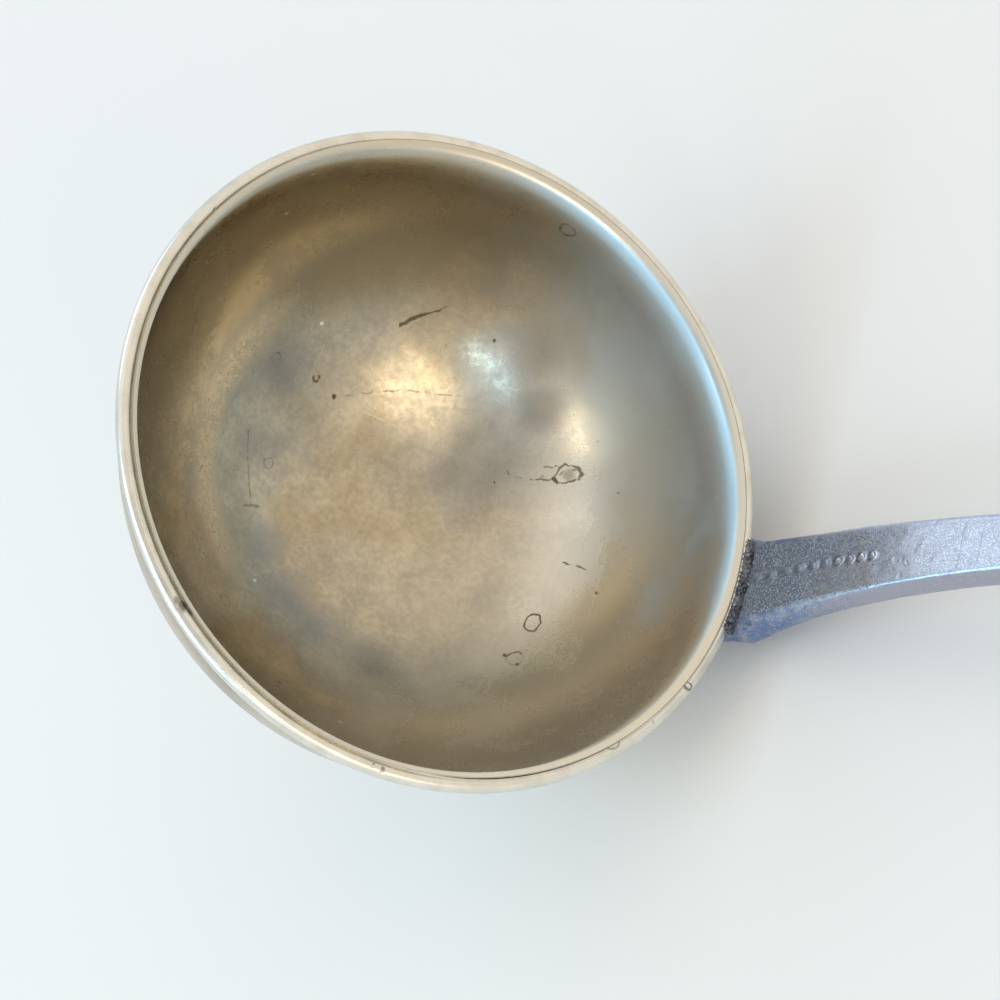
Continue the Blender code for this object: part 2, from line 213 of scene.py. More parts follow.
class NodeKit:
    """Short ways to add and join the nodes of one tree."""

    def __init__(self, tree: NodeTree) -> None:
        """Keeps the tree that nodes are added to."""
        self.tree = tree

    def add(self, kind: str, **settings: object) -> Node:
        """Adds a node.

        Args:
            kind: the node's type.
            settings: its properties by name.

        Returns:
            The node.
        """
        node = self.tree.nodes.new(kind)
        for name, value in settings.items():
            setattr(node, name, value)
        return node

    def put(self, socket: Socket, value: Value) -> None:
        """Links an output to an input, or sets a plain value on it.

        Args:
            socket: the input.
            value: an output of the same tree, or a plain value.
        """
        if isinstance(value, NodeSocket):
            self.tree.links.new(value, socket)
        else:
            socket.default_value = value

    def feed(self, node: Node, *values: Value) -> Node:
        """Fills a node's first inputs in their order.

        Args:
            node: the node.
            values: the inputs.

        Returns:
            The same node.
        """
        for socket, value in zip(node.inputs, values):
            self.put(socket, value)
        return node

    def fill(self, node: Node, **values: Value) -> Node:
        """Fills a node's inputs.

        Args:
            node: the node.
            values: its inputs by name, with underscores standing for spaces.

        Returns:
            The same node.
        """
        for name, value in values.items():
            self.put(node.inputs[name.replace("_", " ")], value)
        return node

    def math(self, operation: str, *values: Value, clamp: bool = False) -> Socket:
        """Result of a Math node on one to three values."""
        node = self.add("ShaderNodeMath", operation=operation, use_clamp=clamp)
        return self.feed(node, *values).outputs["Value"]

    def times(self, a: Value, b: Value) -> Socket:
        """Product of two values."""
        return self.math("MULTIPLY", a, b)

    def plus(self, a: Value, b: Value) -> Socket:
        """Sum of two values."""
        return self.math("ADD", a, b)

    def minus(self, a: Value, b: Value) -> Socket:
        """Difference of two values."""
        return self.math("SUBTRACT", a, b)

    def vector(self, operation: str, *values: Value) -> Socket:
        """Result of a Vector Math node, which is a number for a length, a distance or a dot product."""
        node = self.feed(self.add("ShaderNodeVectorMath", operation=operation), *values)
        return node.outputs["Value" if operation in ("DOT_PRODUCT", "LENGTH", "DISTANCE") else "Vector"]

    def scaled(self, vector: Value, scale: Value) -> Socket:
        """A vector times a number."""
        node = self.add("ShaderNodeVectorMath", operation="SCALE")
        return self.fill(node, Vector=vector, Scale=scale).outputs["Vector"]

    def step(self, value: Value, low: Value, high: Value, start: Value = 0.0, end: Value = 1.0) -> Socket:
        """Smooth step that goes from start to end as the value goes from low to high."""
        node = self.add("ShaderNodeMapRange", interpolation_type="SMOOTHSTEP")
        return self.feed(node, value, low, high, start, end).outputs["Result"]

    def noise(
        self, place: Value, scale: Value, detail: float = 2.0, rough: float = 0.5, warp: float = 0.0
    ) -> Socket:
        """Noise value around 0.5 at a place."""
        sizes = {"Scale": scale, "Detail": detail, "Roughness": rough, "Distortion": warp}
        return self.fill(self.add("ShaderNodeTexNoise"), Vector=place, **sizes).outputs[0]

    def blend(self, share: Value, a: Value, b: Value) -> Socket:
        """Adds a blend of two colours.

        Args:
            share: 0 for the first and 1 for the second.
            a: the first colour.
            b: the second colour.

        Returns:
            The blended colour.
        """
        node = self.add("ShaderNodeMix", data_type="RGBA")
        colours = [socket for socket in node.inputs if socket.type == "RGBA"]
        for socket, value in zip(colours, (a, b)):
            self.put(socket, (*value, 1.0) if isinstance(value, tuple) else value)
        self.put(node.inputs["Factor"], share)
        return next(socket for socket in node.outputs if socket.type == "RGBA")

    def group(self, tree: NodeTree, **values: Value) -> Node:
        """Places a node group and fills its inputs."""
        kind = self.tree.bl_idname.removesuffix("Tree")
        return self.fill(self.add(f"{kind}Group", node_tree=tree), **values)


Group = tuple[NodeKit, NodeOutputs, Node]


def new_group(name: str, kind: str, inputs: dict[str, object], output: tuple[str, str]) -> Group:
    """Starts a node group with named sockets.

    Args:
        name: the group's name.
        kind: ShaderNodeTree or GeometryNodeTree.
        inputs: each input's default, or its socket type where it has none.
        output: the output's name and socket type.

    Returns:
        A kit on the group, its inputs by name, and its output node.
    """
    tree = bpy.data.node_groups.new(name, kind)
    for label, default in inputs.items():
        plain = isinstance(default, str)
        socket_type = default if plain else SOCKET_TYPES[type(default)]
        socket = tree.interface.new_socket(name=label, in_out="INPUT", socket_type=socket_type)
        if not plain:
            socket.default_value = default
    tree.interface.new_socket(name=output[0], in_out="OUTPUT", socket_type=output[1])
    kit = NodeKit(tree)
    return kit, kit.add("NodeGroupInput").outputs, kit.add("NodeGroupOutput")


class Effect(Enum):
    """Surface effects that more than one finish uses."""

    RING = "ring_mark"
    LINE = "line_mark"
    SCRATCHES = "fine_scratches"
    SPECKS = "specks"


class EffectShop:
    """Builds each shared shader group once."""

    solid_ring: float = 0.25
    solid_line: float = 0.3
    scratch_ways: tuple[tuple[Point, float], ...] = (((1.0, 0.035, 0.3), 0.63), ((0.05, 1.0, 0.4), 0.65))
    scratch_softness: float = 0.06
    smallest_speck: float = 0.4
    solid_speck: float = 0.5

    def __init__(self, posture: Posture) -> None:
        """Builds all groups for a ladle that lies in this posture."""
        self.posture = posture
        self.trees = {
            Effect.RING: self._ring(),
            Effect.LINE: self._line(),
            Effect.SCRATCHES: self._scratches(),
            Effect.SPECKS: self._specks(),
        }

    def _ring(self) -> NodeTree:
        """Builds a thin ring round a point, or a spot where its radius is nil.

        Returns:
            The group, whose Mask is 1 on the ring.
        """
        inputs = {"Spot": VECTOR, "Gaps": 0.0, "Centre": VECTOR, "Stretch": (1.0, 1.0, 1.0)}
        inputs |= {"Radius": 0.001, "Width": 0.0002, "Breaks": 0.0}
        kit, given, out = new_group(Effect.RING.value, "ShaderNodeTree", inputs, ("Mask", FLOAT))
        away = kit.vector("SUBTRACT", given["Spot"], given["Centre"])
        reach = kit.vector("LENGTH", kit.vector("MULTIPLY", away, given["Stretch"]))
        apart = kit.math("ABSOLUTE", kit.minus(reach, given["Radius"]))
        solid = kit.times(given["Width"], self.solid_ring)
        line = kit.step(apart, solid, given["Width"], 1.0, 0.0)
        broken = kit.times(given["Gaps"], given["Breaks"])
        kit.fill(out, Mask=kit.times(line, kit.minus(1.0, broken)))
        return kit.tree

    def _line(self) -> NodeTree:
        """Builds a line between two points.

        Returns:
            The group, whose Mask is 1 on the line.
        """
        inputs = {"Spot": VECTOR, "Start": VECTOR, "End": VECTOR, "Width": 0.0002}
        kit, given, out = new_group(Effect.LINE.value, "ShaderNodeTree", inputs, ("Mask", FLOAT))
        along = kit.vector("SUBTRACT", given["End"], given["Start"])
        away = kit.vector("SUBTRACT", given["Spot"], given["Start"])
        run, length = kit.vector("DOT_PRODUCT", away, along), kit.vector("DOT_PRODUCT", along, along)
        share = kit.math("DIVIDE", run, length, clamp=True)
        apart = kit.vector("DISTANCE", away, kit.scaled(along, share))
        solid = kit.times(given["Width"], self.solid_line)
        kit.fill(out, Mask=kit.step(apart, solid, given["Width"], 1.0, 0.0))
        return kit.tree

    def _scratches(self) -> NodeTree:
        """Builds fine lines in two directions, as rubbing leaves them.

        Returns:
            The group, whose Mask is 1 in the scratches.
        """
        inputs = {"Place": VECTOR, "Scale": 400.0, "Turn": (0.0, 0.0, 0.6)}
        kit, given, out = new_group(Effect.SCRATCHES.value, "ShaderNodeTree", inputs, ("Mask", FLOAT))
        masks = []
        for stretch, limit in self.scratch_ways:
            mapping = kit.add("ShaderNodeMapping")
            kit.fill(mapping, Vector=given["Place"], Rotation=given["Turn"], Scale=stretch)
            lines = kit.noise(mapping.outputs["Vector"], given["Scale"], 3.0, 0.6, 0.3)
            masks.append(kit.step(lines, limit, limit + self.scratch_softness))
        kit.fill(out, Mask=kit.math("MAXIMUM", *masks))
        return kit.tree

    def _specks(self) -> NodeTree:
        """Builds scattered small round specks.

        Returns:
            The group, whose Mask is 1 on the specks.
        """
        inputs = {"Place": VECTOR, "Scale": 600.0, "Share": 0.15, "Size": 0.25}
        kit, given, out = new_group(Effect.SPECKS.value, "ShaderNodeTree", inputs, ("Mask", FLOAT))
        cells = kit.add("ShaderNodeTexVoronoi")
        kit.fill(cells, Vector=given["Place"], Scale=given["Scale"])
        pick = kit.fill(kit.add("ShaderNodeSeparateColor"), Color=cells.outputs["Color"])
        chosen = kit.math("LESS_THAN", pick.outputs["Red"], given["Share"])
        bigger = kit.plus(pick.outputs["Green"], self.smallest_speck)
        size = kit.times(given["Size"], bigger)
        solid = kit.times(size, self.solid_speck)
        spot = kit.step(cells.outputs["Distance"], solid, size, 1.0, 0.0)
        kit.fill(out, Mask=kit.times(spot, chosen))
        return kit.tree


class MaterialKit(NodeKit):
    """The nodes of one material, which can say where a surface point lies on the upright ladle."""

    sway_scale: float = 620.0
    sway_detail: float = 3.0
    sway: float = 0.0010
    gap_scale: float = 700.0
    gap_span: Span = (0.42, 0.56)

    def __init__(self, name: str, shop: EffectShop, roughness: float = 0.4, metallic: float = 1.0) -> None:
        """Starts a material.

        Args:
            name: the material's name.
            shop: the shared effects.
            roughness: its plain roughness, for where no node sets it.
            metallic: its plain metallic value.
        """
        self.material = bpy.data.materials.new(name)
        self.material.use_nodes = True
        super().__init__(self.material.node_tree)
        self.shop = shop
        self.shader = self.tree.nodes["Principled BSDF"]
        self.fill(self.shader, Roughness=roughness, Metallic=metallic)

    @cached_property
    def place(self) -> Socket:
        """Position in the bowl's frame."""
        coords = self.add("ShaderNodeTexCoord").outputs["Object"]
        upright = self.add("ShaderNodeMapping", vector_type="TEXTURE")
        self.fill(upright, Vector=coords, Location=self.shop.posture.place)
        return self.fill(upright, Rotation=(0.0, self.shop.posture.turn, 0.0)).outputs["Vector"]

    @cached_property
    def parts(self) -> Node:
        """Node that splits the position into x, y and z."""
        return self.fill(self.add("ShaderNodeSeparateXYZ"), Vector=self.place)

    @cached_property
    def radius(self) -> Socket:
        """Distance from the bowl's axis."""
        squares = [self.math("POWER", self.parts.outputs[axis], 2.0) for axis in "XY"]
        return self.math("SQRT", self.plus(*squares))

    @cached_property
    def height(self) -> Socket:
        """Height over the bowl's flat."""
        return self.parts.outputs["Z"]

    @cached_property
    def spot(self) -> Socket:
        """Position with a small waver, which keeps marks from being too even."""
        waver = self.add("ShaderNodeTexNoise")
        self.fill(waver, Vector=self.place, Scale=self.sway_scale, Detail=self.sway_detail)
        shift = self.vector("SUBTRACT", waver.outputs["Color"], (0.5, 0.5, 0.5))
        return self.vector("ADD", self.place, self.scaled(shift, self.sway))

    @cached_property
    def gaps(self) -> Socket:
        """Mask of the breaks in a mark."""
        return self.step(self.noise(self.place, self.gap_scale, 1.0), *self.gap_span)

    def effect(self, effect: Effect, **values: Value) -> Socket:
        """Adds a shared effect and gives its mask."""
        return self.group(self.shop.trees[effect], **values).outputs["Mask"]

    def towards(self, direction: Point) -> Socket:
        """How far a surface point lies in a direction."""
        return self.vector("DOT_PRODUCT", self.place, direction)

    def bump(self, height: Socket, distance: float) -> None:
        """Feeds a height to the shader's normal.

        Args:
            height: value from 0 to 1.
            distance: the height of 1, in metres.
        """
        bump = self.fill(self.add("ShaderNodeBump"), Height=height, Distance=distance, Strength=1.0)
        self.fill(self.shader, Normal=bump.outputs["Normal"])


@dataclass(frozen=True)
class Pattern:
    """A noise and the span of its values over which it shows."""

    scale: float
    detail: float
    rough: float
    low: float
    high: float

    def mask(self, kit: MaterialKit) -> Socket:
        """Adds the pattern to a material and gives its mask."""
        return kit.step(kit.noise(kit.place, self.scale, self.detail, self.rough), self.low, self.high)


@dataclass(frozen=True)
class Specks:
    """How many scattered specks there are, and how large."""

    scale: float
    share: float
    size: float

    def mask(self, kit: MaterialKit, place: Socket) -> Socket:
        """Adds the specks to a material and gives their mask."""
        return kit.effect(Effect.SPECKS, Place=place, Scale=self.scale, Share=self.share, Size=self.size)


@dataclass(frozen=True)
class Coat:
    """A colour that lies over others, and how strongly."""

    colour: Colour
    strength: float = 1.0

    def over(self, kit: NodeKit, under: Value, mask: Socket) -> Socket:
        """The colour under it, with this coat where the mask shows."""
        share = mask if self.strength == 1.0 else kit.times(mask, self.strength)
        return kit.blend(share, under, self.colour)


@dataclass(frozen=True)
class RingMark:
    """A stain ring inside the bowl, by its plan position."""

    x: float
    y: float
    radius: float
    width: float
    depth: float
    stretch: Point = (1.0, 1.0, 1.0)
    breaks: float = 0.0


@dataclass(frozen=True)
class LineMark:
    """A crack or scratch inside the bowl, as plan positions."""

    path: tuple[tuple[float, float], ...]
    width: float
    depth: float


def strongest(kit: NodeKit, masks: Iterable[Socket]) -> Socket:
    """Joins masks, each compared as soon as its nodes are made.

    Args:
        masks: the masks, best made one by one as they are asked for.

    Returns:
        The greatest of them.
    """
    total = 0.0
    for mask in masks:
        total = kit.math("MAXIMUM", total, mask)
    return total


STAIN: Colour = (0.10, 0.075, 0.045)


@dataclass(frozen=True)
class BowlMetal:
    """Pale copper alloy, worn, spotted and mottled, with painted light, shade and reflections on its walls and
    lip.

    Directions ending in towards are scaled so that the spans of their masks are near 0 to 1. Pairs of heights
    that under_lip takes are measured down from the lip.
    """

    kit: MaterialKit
    form: BowlForm
    tan: Colour = (0.465, 0.385, 0.26)
    grey: Colour = (0.42, 0.375, 0.30)
    # the lip's colours: rubbed paler and partly a painted highlight; the cool one is a painted reflection of
    # the window
    rubbed: Colour = (0.70, 0.66, 0.56)
    cool: Colour = (0.50, 0.75, 0.91)
    cream: Coat = Coat((0.62, 0.535, 0.39), 0.7)
    soiled: Coat = Coat(STAIN, 0.18)
    # painted light: a lighter tint on the side that the window lights
    lit_tint: Coat = Coat((0.80, 0.76, 0.66))
    # painted reflection: the window's cool sheen on the wall on its side
    window_sheen: Coat = Coat((0.58, 0.69, 0.79), 0.9)
    # olive tarnish and painted shade on the wall that faces away from the lamps
    tarnish_and_shade: Coat = Coat((0.27, 0.225, 0.15))
    slate: Coat = Coat((0.33, 0.305, 0.26))
    # painted reflection: a warm arc of light on the wall, speckled with fine pits
    warm_reflection: Coat = Coat((0.70, 0.53, 0.33), 0.85)
    pitted: Coat = Coat(STAIN, 0.5)
    stained: Coat = Coat(STAIN)
    bright: Coat = Coat((0.9, 0.88, 0.8), 0.7)
    clouds: Pattern = Pattern(70.0, 3.0, 0.55, 0.36, 0.66)
    patches: Pattern = Pattern(160.0, 3.0, 0.55, 0.36, 0.72)
    stipple: Pattern = Pattern(2300.0, 2.0, 0.6, 0.46, 0.30)
    bright_specks: Specks = Specks(420.0, 0.035, 0.16)
    mottle_scale: float = 1000.0
    mottle_detail: float = 3.0
    mottle_rough: float = 0.65
    mottle_depth: float = 0.5
    mottle_share: float = 0.6
    soiled_span: Span = (0.35, 0.65)
    lit_towards: Point = (22.0, -6.0, 0.0)
    lit_span: Span = (-0.15, 0.75)
    lit_radii: Span = (0.022, 0.036)
    lit_middle: float = 0.25
    raggedness: float = 0.16
    sheen_towards: Point = (17.0, 15.0, 0.0)
    sheen_span: Span = (0.50, 0.94)
    sheen_radii: Span = (0.031, 0.043)
    dim_towards: Point = (-15.0, 15.0, 0.0)
    dim_span: Span = (0.20, 0.76)
    dim_heights: Span = (0.024, 0.040)
    dim_top: float = 0.4
    dim_radii: Span = (0.028, 0.037)
    smear_strengths: Span = (0.75, 0.4)
    band_centre: Point = (0.0, 0.008, 0.0)
    band_radii: Span = (0.0246, 0.0304)
    band_edge: float = 0.0022
    band_towards: Point = (-39.4, -6.9, 0.0)
    band_span: Span = (0.62, 0.92)
    band_grain: Span = (0.40, 0.60)
    band_least: float = 0.25
    polished: float = 0.23
    dulled: float = 0.35
    worn_span: Span = (0.3, 0.8)
    frost_below: Span = (0.013, 0.005)
    frost_dulls: Span = (0.13, 0.18)
    frost_ends: Span = (0.0022, 0.0008)
    frost_top: float = 0.25
    mark_dull: float = 0.3
    lip_span: Span = (0.0065, 0.0004)
    lip_strength: float = 0.75
    lip_softens: Span = (0.0016, 0.0006)
    lip_dull: float = 0.14
    cool_edge: Span = (0.0011, 0.0005)
    cool_span: Span = (0.45, 0.85)
    wall_radii: Span = (0.031, 0.039)
    wall_tarnish: float = 0.13
    wall_calm: float = 0.38
    scratch_scale: float = 700.0
    scratch_depth: float = 0.35
    relief: float = 0.000014
    flare: float = 0.0023
    flare_height: float = 0.0090
    flare_power: float = 2.5
    rings: tuple[RingMark, ...] = (
        RingMark(0.0084, 0.0440, 0.00120, 0.00026, 0.75, breaks=0.4),
        RingMark(-0.0156, 0.0040, 0.00085, 0.00018, 0.55, breaks=0.5),
        RingMark(-0.0210, 0.0179, 0.00085, 0.00022, 0.7, breaks=0.8),
        RingMark(-0.0158, -0.0209, 0.00095, 0.00020, 0.3),
        RingMark(0.0300, -0.0058, 0.00140, 0.00024, 0.8, stretch=(1.25, 0.9, 1.0)),
        RingMark(0.0286, -0.0126, 0.00125, 0.00022, 0.85, breaks=0.7),
        RingMark(0.0274, -0.0122, 0.0, 0.00052, 0.9),
        RingMark(0.0291, -0.0136, 0.0, 0.00050, 0.9),
        RingMark(0.0248, 0.0177, 0.0, 0.00060, 0.35),
        RingMark(0.0280, 0.0186, 0.0, 0.00150, 0.4),
        RingMark(-0.0097, 0.0181, 0.0, 0.00062, 0.97),
        RingMark(0.0093, 0.0336, 0.0, 0.00048, 0.9),
        RingMark(0.0366, 0.0006, 0.0, 0.00048, 0.9),
        RingMark(0.0347, 0.0166, 0.0, 0.00036, 0.9),
        RingMark(-0.0049, -0.0305, 0.0, 0.00040, 0.85),
        RingMark(0.0188, 0.0154, 0.0, 0.00034, 0.8),
        RingMark(0.0031, 0.0311, 0.0, 0.00028, 0.7),
        RingMark(0.0294, 0.0236, 0.0, 0.00030, 0.7),
        RingMark(-0.0136, 0.0190, 0.00050, 0.00034, 0.85, breaks=1.0),
    )
    lines: tuple[LineMark, ...] = (
        LineMark(((-0.0050, 0.0308), (-0.0037, 0.0322), (-0.0023, 0.0334)), 0.00046, 0.85),
        LineMark(((-0.0023, 0.0334), (-0.0010, 0.0343), (0.0003, 0.0352)), 0.00026, 0.85),
        LineMark(((-0.0079, 0.0191), (-0.0038, 0.0215), (0.0005, 0.0235), (0.0088, 0.0256)), 0.00020, 0.4),
        LineMark(((-0.0206, 0.0066), (-0.0190, 0.0025), (-0.0172, -0.0010), (-0.0160, -0.0036)), 0.00018, 0.5),
        LineMark(((-0.0171, -0.0043), (-0.0147, -0.0031)), 0.00022, 0.5),
        LineMark(((0.0315, 0.0050), (0.0331, 0.0048), (0.0348, 0.0043)), 0.00024, 0.7),
        LineMark(((0.0198, 0.0175), (0.0208, 0.0170), (0.0222, 0.0169)), 0.00018, 0.6),
        LineMark(((0.0235, 0.0170), (0.0262, 0.0174)), 0.00022, 0.7),
        LineMark(((0.0245, 0.0192), (0.0261, 0.0195)), 0.00020, 0.6),
        LineMark(((0.0263, 0.0178), (0.0263, 0.0189), (0.0269, 0.0202)), 0.00028, 0.7),
        LineMark(((0.0269, 0.0202), (0.0279, 0.0199), (0.0288, 0.0198)), 0.00026, 0.75),
        LineMark(((0.0288, 0.0198), (0.0295, 0.0190), (0.0294, 0.0183)), 0.00042, 0.75),
        LineMark(((0.0294, 0.0183), (0.0281, 0.0174), (0.0271, 0.0171)), 0.00024, 0.8),
        LineMark(((0.0271, 0.0171), (0.0263, 0.0178)), 0.00040, 0.85),
        LineMark(((0.0268, 0.0183), (0.0271, 0.0190)), 0.00022, 0.55),
        LineMark(((0.0283, 0.0192), (0.0288, 0.0196)), 0.00036, 0.5),
    )
    smears: tuple[Point, ...] = (
        (-0.0112, -0.0081, 0.0060),
        (-0.0055, -0.0132, 0.0070),
        (0.0009, -0.0166, 0.0070),
        (0.0079, -0.0191, 0.0055),
        (-0.0190, 0.0169, 0.0060),
        (-0.0185, 0.0062, 0.0050),
        (0.0150, 0.0325, 0.0075),
        (0.0200, 0.0272, 0.0062),
    )

    def material(self) -> Material:
        """Builds the finish.

        Returns:
            The bowl's material.
        """
        kit = self.kit
        colour, rough = self.colour, self.roughness
        metallic = kit.math("MULTIPLY_ADD", kit.times(self.wall, self.lit_side), -self.wall_tarnish, 1.0)
        kit.fill(kit.shader, Base_Color=colour, Roughness=rough, Metallic=metallic)
        kit.bump(self.height, self.relief)
        return kit.material

    @cached_property
    def colour(self) -> Socket:
        """All colours, laid over each other."""
        kit = self.kit
        colour = kit.blend(self.clouded, self.tan, self.grey)
        colour = self.cream.over(kit, colour, self.patches.mask(kit))
        colour = self.soiled.over(kit, colour, kit.step(self.mottle, *self.soiled_span))
        # painted light: the side where the window light falls is painted lighter
        colour = self.lit_tint.over(kit, colour, self.lit_side)
        # painted reflection: the window's cool sheen on the wall on its side
        colour = self.window_sheen.over(kit, colour, self.sheen_wall)
        # olive tarnish and painted shade darken the wall away from the lamps
        colour = self.tarnish_and_shade.over(kit, colour, self.tarnished_and_shaded)
        colour = self.slate.over(kit, colour, self.smeared)
        # painted reflection: the warm arc of light on the wall
        colour = self.warm_reflection.over(kit, colour, self.reflection_arc)
        colour = self.pitted.over(kit, colour, self.pits)
        # the lip band: rubbed paler, with a painted highlight and, under its edge, a painted reflection of the
        # window
        colour = kit.blend(kit.times(self.lip, self.lip_strength), colour, self.lip_colour)
        colour = self.stained.over(kit, colour, self.marked)
        return self.bright.over(kit, colour, self.bright_specks.mask(kit, kit.place))

    @cached_property
    def clouded(self) -> Socket:
        """Mask of the greyer clouds."""
        return self.clouds.mask(self.kit)

    @cached_property
    def mottle(self) -> Socket:
        """The fine mottle, around 0.5."""
        return self.kit.noise(self.kit.place, self.mottle_scale, self.mottle_detail, self.mottle_rough)

    @cached_property
    def lit_side(self) -> Socket:
        """Mask of the side that is painted lighter where the window light falls, less so in the bowl's middle.
        """
        side = self.kit.step(self.kit.towards(self.lit_towards), *self.lit_span)
        return self.kit.times(side, self.kit.step(self.kit.radius, *self.lit_radii, self.lit_middle, 1.0))

    @cached_property
    def ragged(self) -> Socket:
        """Uneven shift of the borders of the large masks."""
        return self.kit.times(self.kit.minus(self.clouded, 0.5), self.raggedness)

    @cached_property
    def window_side(self) -> Socket:
        """How far a point lies towards the window."""
        return self.kit.towards(self.sheen_towards)

    @cached_property
    def sheen_wall(self) -> Socket:
        """Mask of the wall on the window's side, which gets a painted cool sheen and a duller finish."""
        side = self.kit.step(self.kit.plus(self.window_side, self.ragged), *self.sheen_span)
        return self.kit.times(side, self.kit.step(self.kit.radius, *self.sheen_radii))

    @cached_property
    def tarnished_and_shaded(self) -> Socket:
        """Mask of the darker wall on the side the lamps don't reach, olive tarnish and painted shade, lighter
        near its top.
        """
        side = self.kit.plus(self.kit.towards(self.dim_towards), self.ragged)
        upwards = self.kit.step(self.kit.height, *self.dim_heights, 1.0, self.dim_top)
        tarnished_and_shaded = self.kit.times(self.kit.step(side, *self.dim_span), upwards)
        return self.kit.times(tarnished_and_shaded, self.kit.step(self.kit.radius, *self.dim_radii))

    @cached_property
    def smeared(self) -> Socket:
        """Mask of the soft dark smears, which the clouds thin."""
        places = ((self.form.on_inside(x, y), width) for x, y, width in self.smears)
        masks = (
            self.kit.effect(Effect.RING, Spot=self.kit.spot, Centre=centre, Radius=0.0, Width=width)
            for centre, width in places
        )
        thinned = self.kit.step(self.clouded, 0.0, 1.0, *self.smear_strengths)
        return self.kit.times(strongest(self.kit, masks), thinned)

    @cached_property
    def reflection_arc(self) -> Socket:
        """Mask of the arc on one side of the bowl that is painted with a warm reflection, which the mottle
        thins.
        """
        plan = self.kit.vector("MULTIPLY", self.kit.place, (1.0, 1.0, 0.0))
        reach = self.kit.vector("DISTANCE", plan, self.band_centre)
        low, high = self.band_radii
        inner = self.kit.step(reach, low, low + self.band_edge)
        reflection_arc = self.kit.times(inner, self.kit.step(reach, high, high - self.band_edge))
        reflection_arc = self.kit.times(reflection_arc, self.kit.step(self.kit.towards(self.band_towards), *self.band_span))
        return self.kit.times(reflection_arc, self.kit.step(self.mottle, *self.band_grain, self.band_least, 1.0))

    @cached_property
    def pits(self) -> Socket:
        """Mask of the fine pits in the arc with the painted warm reflection."""
        return self.kit.times(self.stipple.mask(self.kit), self.reflection_arc)

    def under_lip(self, span: Span, start: float, end: float) -> Socket:
        """Step over a span of heights that are measured down from the lip."""
        low, high = (self.form.depth - down for down in span)
        return self.kit.step(self.kit.height, low, high, start, end)

    @cached_property
    def lip(self) -> Socket:
        """Mask of the lip."""
        return self.under_lip(self.lip_span, 0.0, 1.0)

    @cached_property
    def lip_colour(self) -> Socket:
        """Colour of the lip: rubbed paler and partly a painted highlight, with a painted reflection of the
        window under its edge on the window's side.
        """
        window_reflected = self.under_lip(self.cool_edge, 1.0, 0.0)
        window_reflected = self.kit.times(window_reflected, self.kit.step(self.window_side, *self.cool_span))
        return self.kit.blend(window_reflected, self.rubbed, self.cool)

    @cached_property
    def inside(self) -> Socket:
        """Mask of the bowl's inside, as its mesh notes it."""
        return self.kit.add("ShaderNodeAttribute", attribute_name="inside").outputs["Fac"]

    @cached_property
    def marked(self) -> Socket:
        """Mask of all rings, spots, cracks and scratches."""
        return self.kit.times(strongest(self.kit, self.each_mark()), self.inside)

    def each_mark(self) -> Iterator[Socket]:
        """Makes the masks of the rings, spots, cracks and scratches.

        Yields:
            One mask after another.
        """
        kit, form = self.kit, self.form
        for ring in self.rings:
            shape = {"Centre": form.on_inside(ring.x, ring.y), "Stretch": ring.stretch, "Breaks": ring.breaks}
            size = {"Radius": ring.radius, "Width": ring.width}
            mask = kit.effect(Effect.RING, Spot=kit.spot, Gaps=kit.gaps, **shape, **size)
            yield kit.times(mask, ring.depth)
        for line in self.lines:
            for start, end in zip(line.path, line.path[1:]):
                ends = {"Start": form.on_inside(*start), "End": form.on_inside(*end)}
                mask = kit.effect(Effect.LINE, Spot=kit.spot, Width=line.width, **ends)
                yield kit.times(mask, line.depth)

    @cached_property
    def roughness(self) -> Socket:
        """Roughness, dulled by mottle, clouds, the wall with the painted sheen, and marks."""
        kit = self.kit
        worn = kit.times(self.mottle, self.mottle_share)
        worn = kit.plus(worn, kit.times(self.clouded, 1.0 - self.mottle_share))
        rough = kit.step(worn, *self.worn_span, self.polished, self.dulled)
        frost = self.under_lip(self.frost_below, *self.frost_dulls)
        frost = kit.times(frost, self.under_lip(self.frost_ends, 1.0, self.frost_top))
        rough = kit.math("MULTIPLY_ADD", self.sheen_wall, frost, rough)
        rough = kit.plus(rough, kit.times(self.lip, self.under_lip(self.lip_softens, self.lip_dull, 0.0)))
        return kit.math("MULTIPLY_ADD", self.marked, self.mark_dull, rough)

    @cached_property
    def wall(self) -> Socket:
        """Mask of the wall."""
        return self.kit.step(self.kit.radius, *self.wall_radii)

    @cached_property
    def height(self) -> Socket:
        """Height of the fine relief: mottle, scratches, pits and the soft flare below the lip."""
        kit = self.kit
        scratches = kit.effect(Effect.SCRATCHES, Place=kit.place, Scale=self.scratch_scale)
        depth = kit.math("MULTIPLY_ADD", self.wall, -self.wall_calm, self.mottle_depth)
        height = kit.math("MULTIPLY_ADD", scratches, -self.scratch_depth, kit.times(self.mottle, depth))
        up = kit.minus(kit.height, self.form.depth - self.flare_height)
        up = kit.math("MAXIMUM", kit.times(up, 1.0 / self.flare_height), 0.0)
        flare = kit.times(kit.math("POWER", up, self.flare_power), self.inside)
        height = kit.math("MULTIPLY_ADD", flare, -self.flare / self.relief, height)
        return kit.minus(height, self.pits)


@dataclass(frozen=True)
class RimMark:
    """A ring or smudge on the rim, by its angle and how far in and up from the wire's centre it is."""

    angle: float
    inside: float
    rise: float
    radius: float
    width: float
    depth: float

    def centre(self, form: BowlForm) -> Point:
        """Its place in the bowl's frame."""
        ring, turn = form.wire_ring - self.inside, math.radians(self.angle)
        return (ring * math.cos(turn), ring * math.sin(turn), form.rim_height + self.rise)


